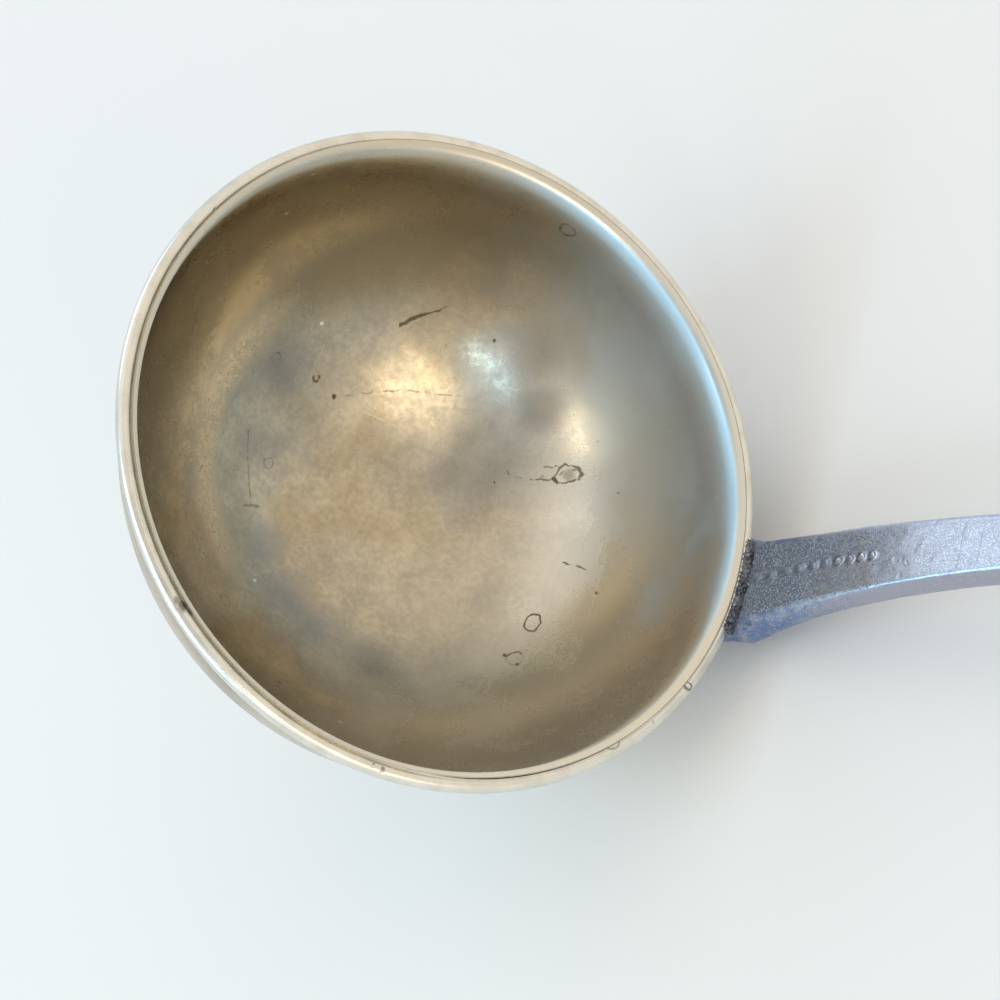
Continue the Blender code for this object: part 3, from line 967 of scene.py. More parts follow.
@dataclass(frozen=True)
class RimMetal:
    """The rim's pale alloy, rubbed bright, with lines that run round it."""

    kit: MaterialKit
    form: BowlForm
    bright: Colour
    worn: Coat
    stain: Colour = (0.14, 0.12, 0.07)
    smooth: float = 0.20
    dull: float = 0.36
    mark_dull: float = 0.2
    clouds: Pattern = Pattern(240.0, 3.0, 0.6, 0.4, 0.7)
    specks: Specks = Specks(430.0, 0.035, 0.16)
    speck_depth: float = 0.6
    line_scale: float = 5200.0
    line_span: Span = (0.25, 0.75)
    line_depth: float = 0.00001
    waver_scale: float = 60.0
    waver: float = 0.0004
    marks: tuple[RimMark, ...] = (
        RimMark(-127.7, 0.0004, 0.0010, 0.0, 0.0013, 0.8),
        RimMark(-126.5, 0.0010, 0.0009, 0.0, 0.0010, 0.75),
        RimMark(-128.8, 0.0, 0.0010, 0.0, 0.0009, 0.65),
        RimMark(-23.2, 0.0, 0.00105, 0.00060, 0.00026, 0.75),
        RimMark(-42.0, 0.0013, 0.0010, 0.00115, 0.00024, 0.6),
        RimMark(-85.5, 0.0, 0.00105, 0.0, 0.00046, 0.8),
        RimMark(-87.2, 0.0002, 0.00105, 0.0, 0.00030, 0.7),
        RimMark(157.8, 0.0012, 0.0009, 0.0, 0.00046, 0.7),
        RimMark(18.0, 0.0010, 0.0009, 0.0, 0.00040, 0.5),
        RimMark(-33.0, 0.0001, 0.00105, 0.0, 0.00032, 0.6),
    )

    def material(self) -> Material:
        """Builds the finish.

        Returns:
            The rim's material.
        """
        kit = self.kit
        waver = kit.times(kit.noise(kit.place, self.waver_scale), self.waver)
        turned = kit.fill(kit.add("ShaderNodeCombineXYZ"), X=kit.radius, Y=waver, Z=kit.height)
        lines = kit.noise(turned.outputs["Vector"], self.line_scale, 2.0, 0.6)
        colour = self.worn.over(kit, self.bright, self.clouds.mask(kit))
        specks = kit.times(self.specks.mask(kit, kit.place), self.speck_depth)
        marked = kit.math("MAXIMUM", strongest(kit, self.each_mark()), specks)
        rough = kit.step(lines, *self.line_span, self.smooth, self.dull)
        rough = kit.math("MULTIPLY_ADD", marked, self.mark_dull, rough)
        kit.fill(kit.shader, Base_Color=kit.blend(marked, colour, self.stain), Roughness=rough)
        kit.bump(lines, self.line_depth)
        return kit.material

    def each_mark(self) -> Iterator[Socket]:
        """Makes the masks of the rings and smudges.

        Yields:
            One mask after another.
        """
        for mark in self.marks:
            size = {"Centre": mark.centre(self.form), "Radius": mark.radius, "Width": mark.width}
            yield self.kit.times(self.kit.effect(Effect.RING, Spot=self.kit.spot, **size), mark.depth)


@dataclass(frozen=True)
class SolderMetal:
    """Dark gritty solder at the handle's foot, with bright flecks that are painted glints."""

    kit: MaterialKit
    light: Colour = (0.34, 0.36, 0.40)
    dark: Colour = (0.04, 0.045, 0.06)
    glint_fleck: Coat = Coat((0.66, 0.75, 0.79), 0.8)
    flecks: Specks = Specks(1500.0, 0.2, 0.3)
    grain_scale: float = 2600.0
    cloud_scale: float = 420.0
    grain_share: float = 0.6
    light_span: Span = (0.38, 0.66)
    rough_span: Span = (0.3, 0.7)
    smooth: float = 0.28
    dull: float = 0.6
    grit: float = 0.00012

    def material(self) -> Material:
        """Builds the finish.

        Returns:
            The solder's material.
        """
        kit = self.kit
        grain = kit.noise(kit.place, self.grain_scale, 3.0, 0.65)
        clouds = kit.times(kit.noise(kit.place, self.cloud_scale), 1.0 - self.grain_share)
        lighter = kit.plus(kit.times(grain, self.grain_share), clouds)
        colour = kit.blend(kit.step(lighter, *self.light_span), self.dark, self.light)
        # painted glints: bright flecks on the grit
        colour = self.glint_fleck.over(kit, colour, self.flecks.mask(kit, kit.place))
        rough = kit.step(grain, *self.rough_span, self.smooth, self.dull)
        kit.fill(kit.shader, Base_Color=colour, Roughness=rough)
        kit.bump(grain, self.grit)
        return kit.material


@dataclass(frozen=True)
class ForgedIron:
    """Dark granular iron near the bowl, rubbed smoother and lighter towards the grip.

    dots are the centres of the punched dots, each painted with a highlight on one side and shade on the other.
    """

    kit: MaterialKit
    dots: Sequence[Point]
    dark: Colour = (0.185, 0.22, 0.285)
    blue: Coat = Coat((0.60, 0.70, 0.88), 0.8)
    rust: Coat = Coat((0.29, 0.245, 0.25), 0.3)
    worn: Coat = Coat((0.42, 0.435, 0.49))
    # painted sheen: the lilac of reflected light on the sides and back
    side_sheen: Coat = Coat((0.50, 0.48, 0.60), 0.35)
    # painted reflection: the blue of a cool lamp on the sides near the foot
    blue_sheen: Coat = Coat((0.12, 0.19, 0.36))
    glint: Coat = Coat((0.52, 0.78, 0.96))
    # painted shade and painted highlight on opposite sides of each punched dot
    dot_shade: Coat = Coat((0.07, 0.075, 0.09), 0.75)
    dot_highlight: Coat = Coat((0.74, 0.76, 0.86), 0.85)
    edge_glint: Coat = Coat((0.52, 0.78, 0.96), 0.4)
    clouds: Pattern = Pattern(130.0, 3.0, 0.6, 0.42, 0.66)
    crumbs: Specks = Specks(4600.0, 0.85, 0.5)
    pits: Specks = Specks(900.0, 0.4, 0.5)
    flecks: Specks = Specks(3400.0, 0.2, 0.34)
    fine_scale: float = 4600.0
    coarse_scale: float = 520.0
    raggedness: float = 0.030
    worn_heights: Span = (0.052, 0.070)
    worn_span: Span = (0.25, 0.6)
    worn_strengths: Span = (0.65, 0.95)
    foot_side_heights: Span = (0.048, 0.062)
    blue_sheen_span: Span = (0.38, 0.58)
    blue_sheen_strengths: Span = (0.8, 0.15)
    edge_span: Span = (0.28, 0.5)
    edge_least: float = 0.35
    fleck_strength: float = 0.75
    fleck_rubbed: float = 0.45
    dot_width: float = 0.0009
    dot_highlight_width: float = 0.0010
    dot_shade_width: float = 0.0012
    punch_shift: float = 0.00034
    bare_metal: float = 0.6
    rough_span: Span = (0.3, 0.7)
    smooth: float = 0.32
    dull: float = 0.54
    polish: float = 0.08
    lump_depth: float = 0.16
    lump_rubbed: float = 0.45
    crumb_depth: float = 0.14
    pit_depth: float = 0.05
    file_scale: float = 1100.0
    file_turn: Point = (0.5, 0.9, 0.7)
    file_depth: float = 0.07
    file_foot_sides: float = 0.8
    calm: float = 0.7
    relief: float = 0.00030

    def material(self) -> Material:
        """Builds the finish.

        Returns:
            The handle's material.
        """
        kit = self.kit
        rough = kit.step(kit.noise(kit.place, self.fine_scale, 1.0), *self.rough_span, self.smooth, self.dull)
        rough = kit.math("MULTIPLY_ADD", self.rubbed, -self.polish, rough)
        rough = kit.math("MULTIPLY_ADD", self.handled, -self.polish, rough)
        metallic = kit.math("MULTIPLY_ADD", self.rubbed, 1.0 - self.bare_metal, self.bare_metal)
        kit.fill(kit.shader, Base_Color=self.colour, Metallic=metallic, Roughness=rough)
        calm = kit.math("MULTIPLY_ADD", self.handled, -self.calm, 1.0)
        kit.bump(kit.times(self.height, calm), self.relief)
        return kit.material

    @cached_property
    def coarse(self) -> Socket:
        """Coarse noise that makes other masks uneven."""
        return self.kit.noise(self.kit.place, self.coarse_scale)

    @cached_property
    def crumbled(self) -> Socket:
        """Mask of the bright crumbs of the granular skin."""
        return self.crumbs.mask(self.kit, self.kit.place)

    def noted(self, name: str) -> Socket:
        """Mask that the handle's mesh notes at its points."""
        return self.kit.add("ShaderNodeAttribute", attribute_name=name).outputs["Fac"]

    @cached_property
    def edge(self) -> Socket:
        """Mask of the edges, rubbed smoother and painted with a highlight."""
        noted = self.noted("edge")
        return self.kit.times(noted, self.kit.step(self.coarse, *self.edge_span, self.edge_least, 1.0))

    @cached_property
    def facing(self) -> Socket:
        """Mask of the front face."""
        return self.noted("facing")

    @cached_property
    def aside(self) -> Socket:
        """Mask of the sides and the back."""
        return self.kit.minus(1.0, self.facing)

    @cached_property
    def rubbed(self) -> Socket:
        """Mask of what the hand has rubbed: the edges, whose lighter colour is also a painted highlight, and
        all above a ragged border.
        """
        uneven = self.kit.minus(self.coarse, 0.5)
        ragged = self.kit.math("MULTIPLY_ADD", uneven, self.raggedness, self.kit.height)
        return self.kit.math("MAXIMUM", self.kit.step(ragged, *self.worn_heights), self.edge)

    @cached_property
    def foot_sides(self) -> Socket:
        """Mask of the sides near the foot, which get a painted blue reflection."""
        return self.kit.times(self.aside, self.kit.step(self.kit.height, *self.foot_side_heights, 1.0, 0.0))

    @cached_property
    def punched(self) -> Socket:
        """Mask of the punched dots."""
        return strongest(self.kit, self.each_dot(0.0, self.dot_width))

    @cached_property
    def handled(self) -> Socket:
        """Mask of the dots and the edges."""
        return self.kit.math("MAXIMUM", self.punched, self.edge)

    def each_dot(self, shift: float, width: float) -> Iterator[Socket]:
        """Makes the masks of the punched dots.

        Args:
            shift: how far each mask is moved along the row.
            width: each mask's radius.

        Yields:
            One mask after another.
        """
        row = Vector(self.dots[-1]) - Vector(self.dots[0])
        for dot in self.dots:
            centre = tuple(Vector(dot) + row.normalized() * shift)
            yield self.kit.effect(Effect.RING, Spot=self.kit.spot, Centre=centre, Radius=0.0, Width=width)

    @cached_property
    def colour(self) -> Socket:
        """All colours, laid over each other."""
        kit = self.kit
        crumbs = kit.times(self.crumbled, kit.minus(1.0, self.punched))
        colour = self.blue.over(kit, self.dark, crumbs)
        colour = self.rust.over(kit, colour, self.clouds.mask(kit))
        uneven = kit.step(self.coarse, *self.worn_span, *self.worn_strengths)
        colour = self.worn.over(kit, colour, kit.times(self.rubbed, uneven))
        # painted sheen of reflected light on the sides and back
        colour = self.side_sheen.over(kit, colour, self.aside)
        # painted reflection of blue light on the sides near the foot
        uneven = kit.step(self.coarse, *self.blue_sheen_span, *self.blue_sheen_strengths)
        colour = self.blue_sheen.over(kit, colour, kit.times(self.foot_sides, uneven))
        fewer = kit.math("MULTIPLY_ADD", self.rubbed, -self.fleck_rubbed, self.fleck_strength)
        colour = self.glint.over(kit, colour, kit.times(self.flecks.mask(kit, kit.place), fewer))
        # painted shade on one side of each dot and a painted highlight on the other
        dot_shaded = strongest(kit, self.each_dot(-self.punch_shift, self.dot_shade_width))
        colour = self.dot_shade.over(kit, colour, dot_shaded)
        dot_lit = strongest(kit, self.each_dot(self.punch_shift, self.dot_highlight_width))
        colour = self.dot_highlight.over(kit, colour, dot_lit)
        # painted highlight along the edges
        return self.edge_glint.over(kit, colour, self.edge)

    @cached_property
    def height(self) -> Socket:
        """Height of the fine relief: granular where it is dark, filed and pitted where it is rubbed."""
        kit = self.kit
        lumps = kit.times(kit.minus(self.coarse, 0.5), self.lump_depth)
        granular = kit.math("MULTIPLY_ADD", self.crumbled, self.crumb_depth, lumps)
        pits = self.pits.mask(kit, kit.spot)
        smooth = kit.math("MULTIPLY_ADD", pits, -self.pit_depth, kit.times(lumps, self.lump_rubbed))
        height = kit.math("MULTIPLY_ADD", kit.minus(smooth, granular), self.rubbed, granular)
        filed = kit.effect(Effect.SCRATCHES, Place=kit.place, Scale=self.file_scale, Turn=self.file_turn)
        sides = kit.times(self.foot_sides, -self.file_foot_sides)
        cut = kit.math("MULTIPLY_ADD", kit.times(self.rubbed, self.facing), -self.file_depth, sides)
        return kit.math("MULTIPLY_ADD", filed, cut, height)


def grid_mesh(name: str, rings: np.ndarray, closed_along: bool = False) -> Mesh:
    """Joins rings of points, one after another.

    Args:
        name: the mesh's name.
        rings: an (n, m, 3) array of n rings of m points.
        closed_along: whether the last ring joins the first; otherwise both ends are capped.

    Returns:
        A closed mesh whose faces point outwards when the rings turn clockwise seen along their order.
    """
    total, count = rings.shape[:2]
    index = np.arange(total * count).reshape(total, count)
    after = np.roll(index, -1, axis=1)
    if closed_along:
        upper, upper_after = np.roll(index, -1, axis=0), np.roll(after, -1, axis=0)
        faces = np.stack([index, after, upper_after, upper], axis=-1).reshape(-1, 4).tolist()
        points = rings.reshape(-1, 3)
    else:
        faces = np.stack([index[:-1], after[:-1], after[1:], index[1:]], axis=-1).reshape(-1, 4).tolist()
        points = np.concatenate([rings.reshape(-1, 3), [rings[0].mean(0), rings[-1].mean(0)]])
        low, high = total * count, total * count + 1
        faces += [(low, int(b), int(a)) for a, b in zip(index[0], after[0])]
        faces += [(high, int(a), int(b)) for a, b in zip(index[-1], after[-1])]
    mesh = bpy.data.meshes.new(name)
    mesh.from_pydata(points.tolist(), [], faces)
    mesh.update()
    return mesh


def turn_outwards(mesh: Mesh) -> None:
    """Flips a closed mesh whose faces point inwards."""
    mesh.calc_loop_triangles()
    points = np.array([vertex.co for vertex in mesh.vertices])
    corners = points[np.array([triangle.vertices for triangle in mesh.loop_triangles])]
    volume = np.einsum("ij,ij->i", corners[:, 0], np.cross(corners[:, 1], corners[:, 2])).sum()
    if volume < 0.0:
        mesh.flip_normals()


def spun(profile: np.ndarray, angles: np.ndarray) -> np.ndarray:
    """Rings of a (radius, height) profile at angles about the bowl's axis."""
    rings = np.empty((len(angles), len(profile), 3))
    rings[..., 0] = np.cos(angles)[:, None] * profile[None, :, 0]
    rings[..., 1] = np.sin(angles)[:, None] * profile[None, :, 0]
    rings[..., 2] = profile[None, :, 1]
    return rings


class Piece:
    """What every dressed piece of the ladle shares."""

    crease: float = math.radians(50.0)

    def __init__(self, node: str, posture: Posture) -> None:
        """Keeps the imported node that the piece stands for, and where the ladle lies."""
        self.node = node
        self.posture = posture

    def show(self, mesh: Mesh, material: Material) -> Object:
        """Makes an object of an upright mesh, laid down, smooth and dressed.

        Args:
            mesh: a closed mesh in the bowl's frame.
            material: its finish.

        Returns:
            The object, not yet tied to the frame.
        """
        turn_outwards(mesh)
        mesh.transform(self.posture.matrix())
        mesh.shade_smooth()
        mesh.set_sharp_from_angle(angle=self.crease)
        mesh.materials.append(material)
        obj = bpy.data.objects.new(f"dressed_{self.node}", mesh)
        bpy.context.scene.collection.objects.link(obj)
        return obj

    def tie(self, obj: Object) -> None:
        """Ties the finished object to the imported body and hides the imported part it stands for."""
        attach(obj, "root")
        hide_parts(self.node)
        LOG.info("%s: %d faces", obj.name, len(obj.data.polygons))


@dataclass
class Bowl:
    """The raised bowl, with the soft unevenness of hand work."""

    form: BowlForm
    around: int = 300
    flat_steps: int = 6
    outer_steps: int = 46
    lip_steps: int = 30
    edge_steps: int = 10
    inner_steps: int = 66
    swell: float = 0.00006
    swell_size: float = 0.017
    inset: float = 0.00009
    bend: float = 0.00052
    bend_height: float = 0.0037
    roll: float = 0.00030
    roll_height: float = 0.0012
    roll_reach: float = 0.88
    thinning: float = 0.00042
    roll_middle: float = math.radians(45.0)
    roll_least: float = 0.75
    roll_half: float = 0.9
    roll_blend: float = 1.2
    swell_below: float = 0.012
    swell_over: float = 0.004
    swell_seed: float = 4.7

    def lip_roll(self, profile: np.ndarray, angles: np.ndarray) -> np.ndarray:
        """Outward shift of the lip, which is rolled over the wire a little, most on one side.

        Args:
            profile: the turned profile.
            angles: the angles of its copies.

        Returns:
            One shift for each profile point and angle.
        """
        below = self.form.depth - profile[:, 1]
        bent = np.clip(1.0 - below / self.bend_height, 0.0, 1.0) ** 2
        up = np.clip(1.0 - below / self.roll_height, 0.0, 1.0) * self.roll_reach
        rolled = (1.0 - np.sqrt(1.0 - up**2)) / (1.0 - math.sqrt(1.0 - self.roll_reach**2))
        inner = np.clip((self.form.wall_radius - profile[:, 0]) / self.form.wall, 0.0, 1.0) * self.thinning
        apart = np.abs((angles - self.roll_middle + math.pi) % (2 * math.pi) - math.pi)
        shares = [ease((value - self.roll_half) / self.roll_blend) for value in apart]
        most = np.array([mix(1.0, self.roll_least, share) for share in shares])
        return (bent * self.bend + rolled * (self.roll + inner))[:, None] * most[None, :]

    def profile(self) -> np.ndarray:
        """Works out the turned profile.

        Returns:
            (radius, height) points from the middle of the flat, over the lip, to the middle of the inside.
        """
        form = self.form
        flat = [(form.flat_radius * i / self.flat_steps, 0.0) for i in range(1, self.flat_steps)]
        angles = np.linspace(form.base_angle, 0.0, self.outer_steps + 1)
        outer = [(form.wall_radius * math.cos(a), form.spring - form.semi_height * math.sin(a)) for a in angles]
        half = form.wall / 2
        rise = np.linspace(form.spring, form.depth - half, self.lip_steps + 1)
        upright = [(form.wall_radius, height) for height in rise[1:-1]]
        edge = arc((form.wall_radius - half, form.depth - half), half, 0.0, math.pi, self.edge_steps)
        inside = [(form.wall_radius - form.wall, height) for height in rise[::-1][1:-1]]
        turns = np.linspace(0.0, math.pi / 2, self.inner_steps + 1)[:-1]
        radii = [(form.wall_radius - form.wall) * math.cos(a) for a in turns]
        inner = [(radius, form.inner_height(radius)) for radius in radii]
        return np.array([*flat, *outer, *upright, *edge, *inside, *inner])

    def build(self) -> Mesh:
        """Turns the profile, lets its round part swell and sink a little, and notes which points are inside.

        Returns:
            The bowl's mesh.
        """
        profile = self.profile()
        angles = np.linspace(0.0, 2 * math.pi, self.around, endpoint=False)
        rings = spun(profile, angles).transpose(1, 0, 2)
        outward = np.stack([np.cos(angles), np.sin(angles), np.zeros_like(angles)], axis=-1)
        rings = rings + outward[None] * self.lip_roll(profile, angles)[..., None]
        centre = np.array([0.0, 0.0, self.form.spring])
        spokes = rings - centre
        direction = spokes / np.linalg.norm(spokes, axis=-1, keepdims=True)
        below = [ease((self.form.spring - height) / self.swell_below) for height in profile[:, 1]]
        over = [ease(height / self.swell_over) for height in profile[:, 1]]
        share = np.array(below) * np.array(over)
        swell = wander((direction * self.form.wall_radius).reshape(-1, 3), self.swell_size, self.swell_seed)
        offset = (swell.reshape(rings.shape[:2]) * self.swell - self.inset) * share[:, None]
        rings = rings + direction * offset[..., None]
        mesh = grid_mesh("bowl", rings)
        lip = self.flat_steps + self.outer_steps + self.lip_steps + self.edge_steps // 2
        inside = np.repeat(np.arange(len(profile)) >= lip, self.around).astype(float)
        mesh.attributes.new("inside", "FLOAT", "POINT").data.foreach_set("value", [*inside, 0.0, 1.0])
        return mesh

    def dress(self, shop: EffectShop) -> Material:
        """Gives the bowl its worn white metal."""
        return BowlMetal(MaterialKit("worn_white_metal", shop), self.form).material()


@dataclass
class RimWire:
    """The wire round the lip, with its filled butt joint and a few nicks.

    A dent is (angle round the rim, angle round the wire, depth, width), with angles in degrees.
    """

    form: BowlForm
    steps: int = 460
    sides: int = 32
    bright: Colour = (0.79, 0.765, 0.69)
    worn: Coat = Coat((0.62, 0.59, 0.50), 0.55)
    dent_rings: int = 23
    dent_spread: float = math.radians(1.2)
    dent_stretch: float = 1.5
    least_turn: float = 2e-4
    dents: tuple[tuple[float, float, float, float], ...] = (
        (-127.7, 112.0, 0.00012, 0.00055),
        (-85.5, 85.0, 0.00016, 0.00022),
        (-87.2, 100.0, 0.00010, 0.00016),
        (157.8, 130.0, 0.00014, 0.00024),
        (18.0, 100.0, 0.00010, 0.00018),
        (-33.0, 92.0, 0.00010, 0.00016),
    )

    def angles(self) -> np.ndarray:
        """Works out the angles of the rings, closer together at the dents.

        Returns:
            Rising angles round the rim, no two of them too close.
        """
        spread = np.linspace(-1.0, 1.0, self.dent_rings) * self.dent_spread
        close = [(math.radians(dent[0]) + spread) % (2 * math.pi) for dent in self.dents]
        even = np.linspace(0.0, 2 * math.pi, self.steps, endpoint=False)
        every = np.sort(np.concatenate([even, *close]))
        return every[np.concatenate([[True], np.diff(every) > self.least_turn])]

    def build(self) -> Mesh:
        """Bends the wire round and dents it.

        Returns:
            The wire's mesh.
        """
        round_wire = np.linspace(0.0, 2 * math.pi, self.sides, endpoint=False)
        turn, side = np.meshgrid(self.angles(), round_wire, indexing="ij")
        radius = np.full(turn.shape, self.form.wire_radius)
        for angle, where, depth, width in self.dents:
            apart = (turn - math.radians(angle) + math.pi) % (2 * math.pi) - math.pi
            along = apart * self.form.wire_ring / width
            across = (side - math.radians(where)) * self.form.wire_radius / (self.dent_stretch * width)
            radius -= depth * np.exp(-(along**2) - across**2)
        ring = self.form.wire_ring + radius * np.cos(side)
        height = self.form.rim_height + radius * np.sin(side)
        rings = np.stack([ring * np.cos(turn), ring * np.sin(turn), height], axis=-1)
        return grid_mesh("rim_wire", rings, closed_along=True)

    def dress(self, shop: EffectShop) -> Material:
        """Gives the wire its rubbed finish."""
        return RimMetal(MaterialKit("rubbed_wire", shop), self.form, self.bright, self.worn).material()


@dataclass
class RimSolder:
    """Solder under the wire, which also runs up into the seam between wire and lip.

    Round most of the rim the seam is a low groove; about flush_middle it is filled nearly flush.
    """

    form: BowlForm
    leg: float = 0.00135
    clearance: float = 0.0003
    end_angle: float = math.radians(265.0)
    hollow: float = 0.00018
    low_seam: float = 0.00068
    flush_seam: float = 0.00103
    flush_middle: float = math.radians(12.0)
    flush_half: float = math.radians(75.0)
    blend: float = math.radians(40.0)
    lip_shift: float = 0.00070
    steps: int = 420
    wire_steps: int = 14
    sink: float = 0.00006
    steepest: float = 0.995
    seam_wave: float = 0.00005
    waves: float = 9.0
    wave_seed: float = 0.7
    low_dip: float = 0.00009
    flush_dip: float = 0.00004
    hollow_towards: tuple[float, float] = (-0.6, 0.8)
    bright: Colour = (0.68, 0.665, 0.61)
    worn: Coat = Coat((0.54, 0.515, 0.45), 0.55)
    smooth: float = 0.26
    dull: float = 0.42

    def flush_share(self, angle: float) -> float:
        """How far the seam is filled, from 0 to 1, at an angle round the rim."""
        apart = abs((angle - self.flush_middle + math.pi) % (2 * math.pi) - math.pi)
        return 1.0 - ease((apart - self.flush_half) / self.blend)

    def seam_height(self, angle: float) -> float:
        """Works out how high the solder stands in the seam.

        Args:
            angle: angle round the rim.

        Returns:
            The height over the wire's centre.
        """
        filled = self.flush_share(angle)
        place = Vector((math.cos(angle) * self.waves, math.sin(angle) * self.waves, self.wave_seed))
        wave = self.seam_wave * noise.noise(place) * (1.0 - filled)
        return mix(self.low_seam, self.flush_seam, filled) + wave

    def section(self, angle: float) -> np.ndarray:
        """Works out the solder's closed outline.

        Args:
            angle: angle round the rim.

        Returns:
            (radius, height) points.
        """
        wire = self.form.wire_radius - self.sink
        wall = self.form.wall_radius - self.sink
        centre = (self.form.wire_ring, self.form.rim_height)
        seam = self.seam_height(angle)
        up = math.asin(min(seam / wire, self.steepest))
        inner = arc(centre, wire, math.pi - up, self.end_angle, self.wire_steps)
        reach = self.form.wire_radius + self.clearance
        seat = self.form.wire_ring - self.form.wall_radius - self.clearance
        foot = self.form.rim_height + reach * math.sin(math.pi + math.acos(seat / reach)) - self.leg
        outer = arc(centre, reach, self.end_angle, self.end_angle, 0)[0]
        wall_foot = np.array([wall, foot])
        middle = (wall_foot + outer) / 2 + np.array(self.hollow_towards) * self.hollow
        filled = self.flush_share(angle)
        top = np.array([wall + self.lip_shift * filled, self.form.rim_height + seam])
        sunk = seam - mix(self.low_dip, self.flush_dip, filled)
        dip = np.array([(top[0] + inner[0][0]) / 2, self.form.rim_height + sunk])
        return np.array([wall_foot, top, dip, *inner, outer, middle])

    def build(self) -> Mesh:
        """Runs the outline round the rim.

        Returns:
            The solder's mesh.
        """
        angles = np.linspace(0.0, 2 * math.pi, self.steps, endpoint=False)
        rings = np.concatenate([spun(self.section(angle), np.array([angle])) for angle in angles])
        return grid_mesh("rim_solder", rings, closed_along=True)

    def dress(self, shop: EffectShop) -> Material:
        """Gives the seam its grey solder."""
        kit = MaterialKit("rim_solder", shop)
        return RimMetal(kit, self.form, self.bright, self.worn, smooth=self.smooth, dull=self.dull).material()


@dataclass(frozen=True)
class Section:
    """A cross-section of the handle.

    x and z are a point on its front face in the upright frame and tilt the angle of its depth below +X. The
    other six are half widths and depths of the outline at the front, the widest place and the back.
    """

    x: float
    z: float
    tilt: float
    front: float
    widest: float
    back: float
    front_depth: float
    widest_depth: float
    thickness: float


@dataclass
class Handle:
    """The forged handle: tongue, foot, riser, waist, grip and hook."""

    form: BowlForm
    length: float = 0.225
    foot_lap: float = 0.00075
    root_lean: float = math.radians(14.5)
    grip_lean: float = math.radians(31.0)
    lean_from: float = 0.008
    lean_to: float = 0.070
    root_width: float = 0.0126
    waist_width: float = 0.0076
    waist_at: float = 0.058
    waist_power: float = 1.6
    grip_width: float = 0.0114
    grip_share: float = 0.82
    root_thickness: float = 0.0066
    neck_thickness: float = 0.0052
    neck_at: float = 0.013
    waist_thickness: float = 0.0060
    grip_thickness: float = 0.0036
    root_flare: float = 0.0022
    root_flare_depth: float = 0.0042
    flare_length: float = 0.026
    root_back_inset: float = 0.0022
    toe_softness: float = 0.005
    edge_bevel: float = 0.00035
    chamfer: float = 0.0005
    edge_rounding: float = 0.0006
    side_rounding: float = 0.0010
    back_inset: float = 0.0005
    back_rounding: float = 0.0011
    tongue_drop: float = 0.024
    tongue_width: float = 0.0168
    tongue_neck: float = 0.0132
    tongue_tip: float = 0.0013
    tongue_round: float = 0.0108
    tongue_power: float = 1.3
    tongue_back: float = 0.72
    tongue_widest: float = 0.45
    hook_radius: float = 0.012
    hook_turn: float = math.radians(168.0)
    hook_width: float = 0.0074
    hook_tip_width: float = 0.0048
    hook_thickness: float = 0.0032
    hook_tip_thickness: float = 0.0024
    clearance: float = 0.0003
    crown: float = 0.00010
    corner_points: int = 8
    edge_points: tuple[int, ...] = (12, 9, 14, 9, 12, 58)
    most_rounding: float = 0.42
    front_spread: float = 0.35
    path_step: float = 0.0005
    dots_to: float = 0.0262
    dots_step: float = 0.00013
    riser_to: float = 0.062
    riser_step: float = 0.0004
    grip_step: float = 0.0017
    hook_rings: int = 60
    tip_rings: int = 7
    tip_angles: tuple[float, float] = (12.0, 80.0)
    tongue_rings: int = 56
    tongue_first: float = 0.0014
    tongue_last: float = 0.00012
    tongue_sunk: float = 0.002

    @property
    def front_radius(self) -> float:
        """Distance of the front face's start from the bowl's axis."""
        return self.form.wire_ring + self.form.wire_radius - self.foot_lap

    @property
    def front_height(self) -> float:
        """Height of the front face's start over the wire's centre."""
        reach = self.form.wire_radius + self.clearance
        return math.sqrt(reach**2 - (self.front_radius - self.form.wire_ring) ** 2)

    @property
    def hook_length(self) -> float:
        """Length of the hook along the front face."""
        return self.hook_radius * self.hook_turn

    def hook_share(self, s: float) -> float:
        """0 up to the hook's start, rising to 1 at its tip."""
        return min(max((s - self.length) / self.hook_length, 0.0), 1.0)

    def lean_at(self, s: float) -> float:
        """Lean of the front face from upright at a length along it."""
        share = ease((s - self.lean_from) / (self.lean_to - self.lean_from))
        return mix(self.root_lean, self.grip_lean, share) + self.hook_turn * self.hook_share(s)

    def front_path(self, lengths: Sequence[float]) -> list[Point]:
        """Walks up the middle of the front face.

        Args:
            lengths: rising lengths along it.

        Returns:
            (x, z, lean) at each length, with z over the wire's centre.
        """
        x, z, s = self.front_radius, self.front_height, 0.0
        places = []
        for target in lengths:
            while s < target:
                step = min(self.path_step, target - s)
                lean = self.lean_at(s + step / 2)
                x += step * math.sin(lean)
                z += step * math.cos(lean)
                s += step
            places.append((x, z, self.lean_at(s)))
        return places

    def width_at(self, s: float) -> float:
        """Works out the width of the front face.

        Args:
            s: length along it.

        Returns:
            The width.
        """
        grip_at = self.length * self.grip_share
        width = mix(self.waist_width, self.root_width, fade(s, self.waist_at, self.waist_power))
        width = mix(width, self.grip_width, ease((s - self.waist_at) / (grip_at - self.waist_at)))
        width = mix(width, self.hook_width, ease((s - grip_at) / (self.length - grip_at)))
        return mix(width, self.hook_tip_width, self.hook_share(s))

    def thickness_at(self, s: float) -> float:
        """Works out the thickness from front to back.

        Args:
            s: length along the front face.

        Returns:
            The thickness.
        """
        grip_at = self.length * self.grip_share
        thick = mix(self.neck_thickness, self.root_thickness, fade(s, self.neck_at, 2))
        thick = mix(thick, self.waist_thickness, ease((s - self.neck_at) / (self.waist_at - self.neck_at)))
        thick = mix(thick, self.grip_thickness, ease((s - self.waist_at) / (grip_at - self.waist_at)))
        thick = mix(thick, self.hook_thickness, ease((s - grip_at) / (self.length - grip_at)))
        return mix(thick, self.hook_tip_thickness, self.hook_share(s))

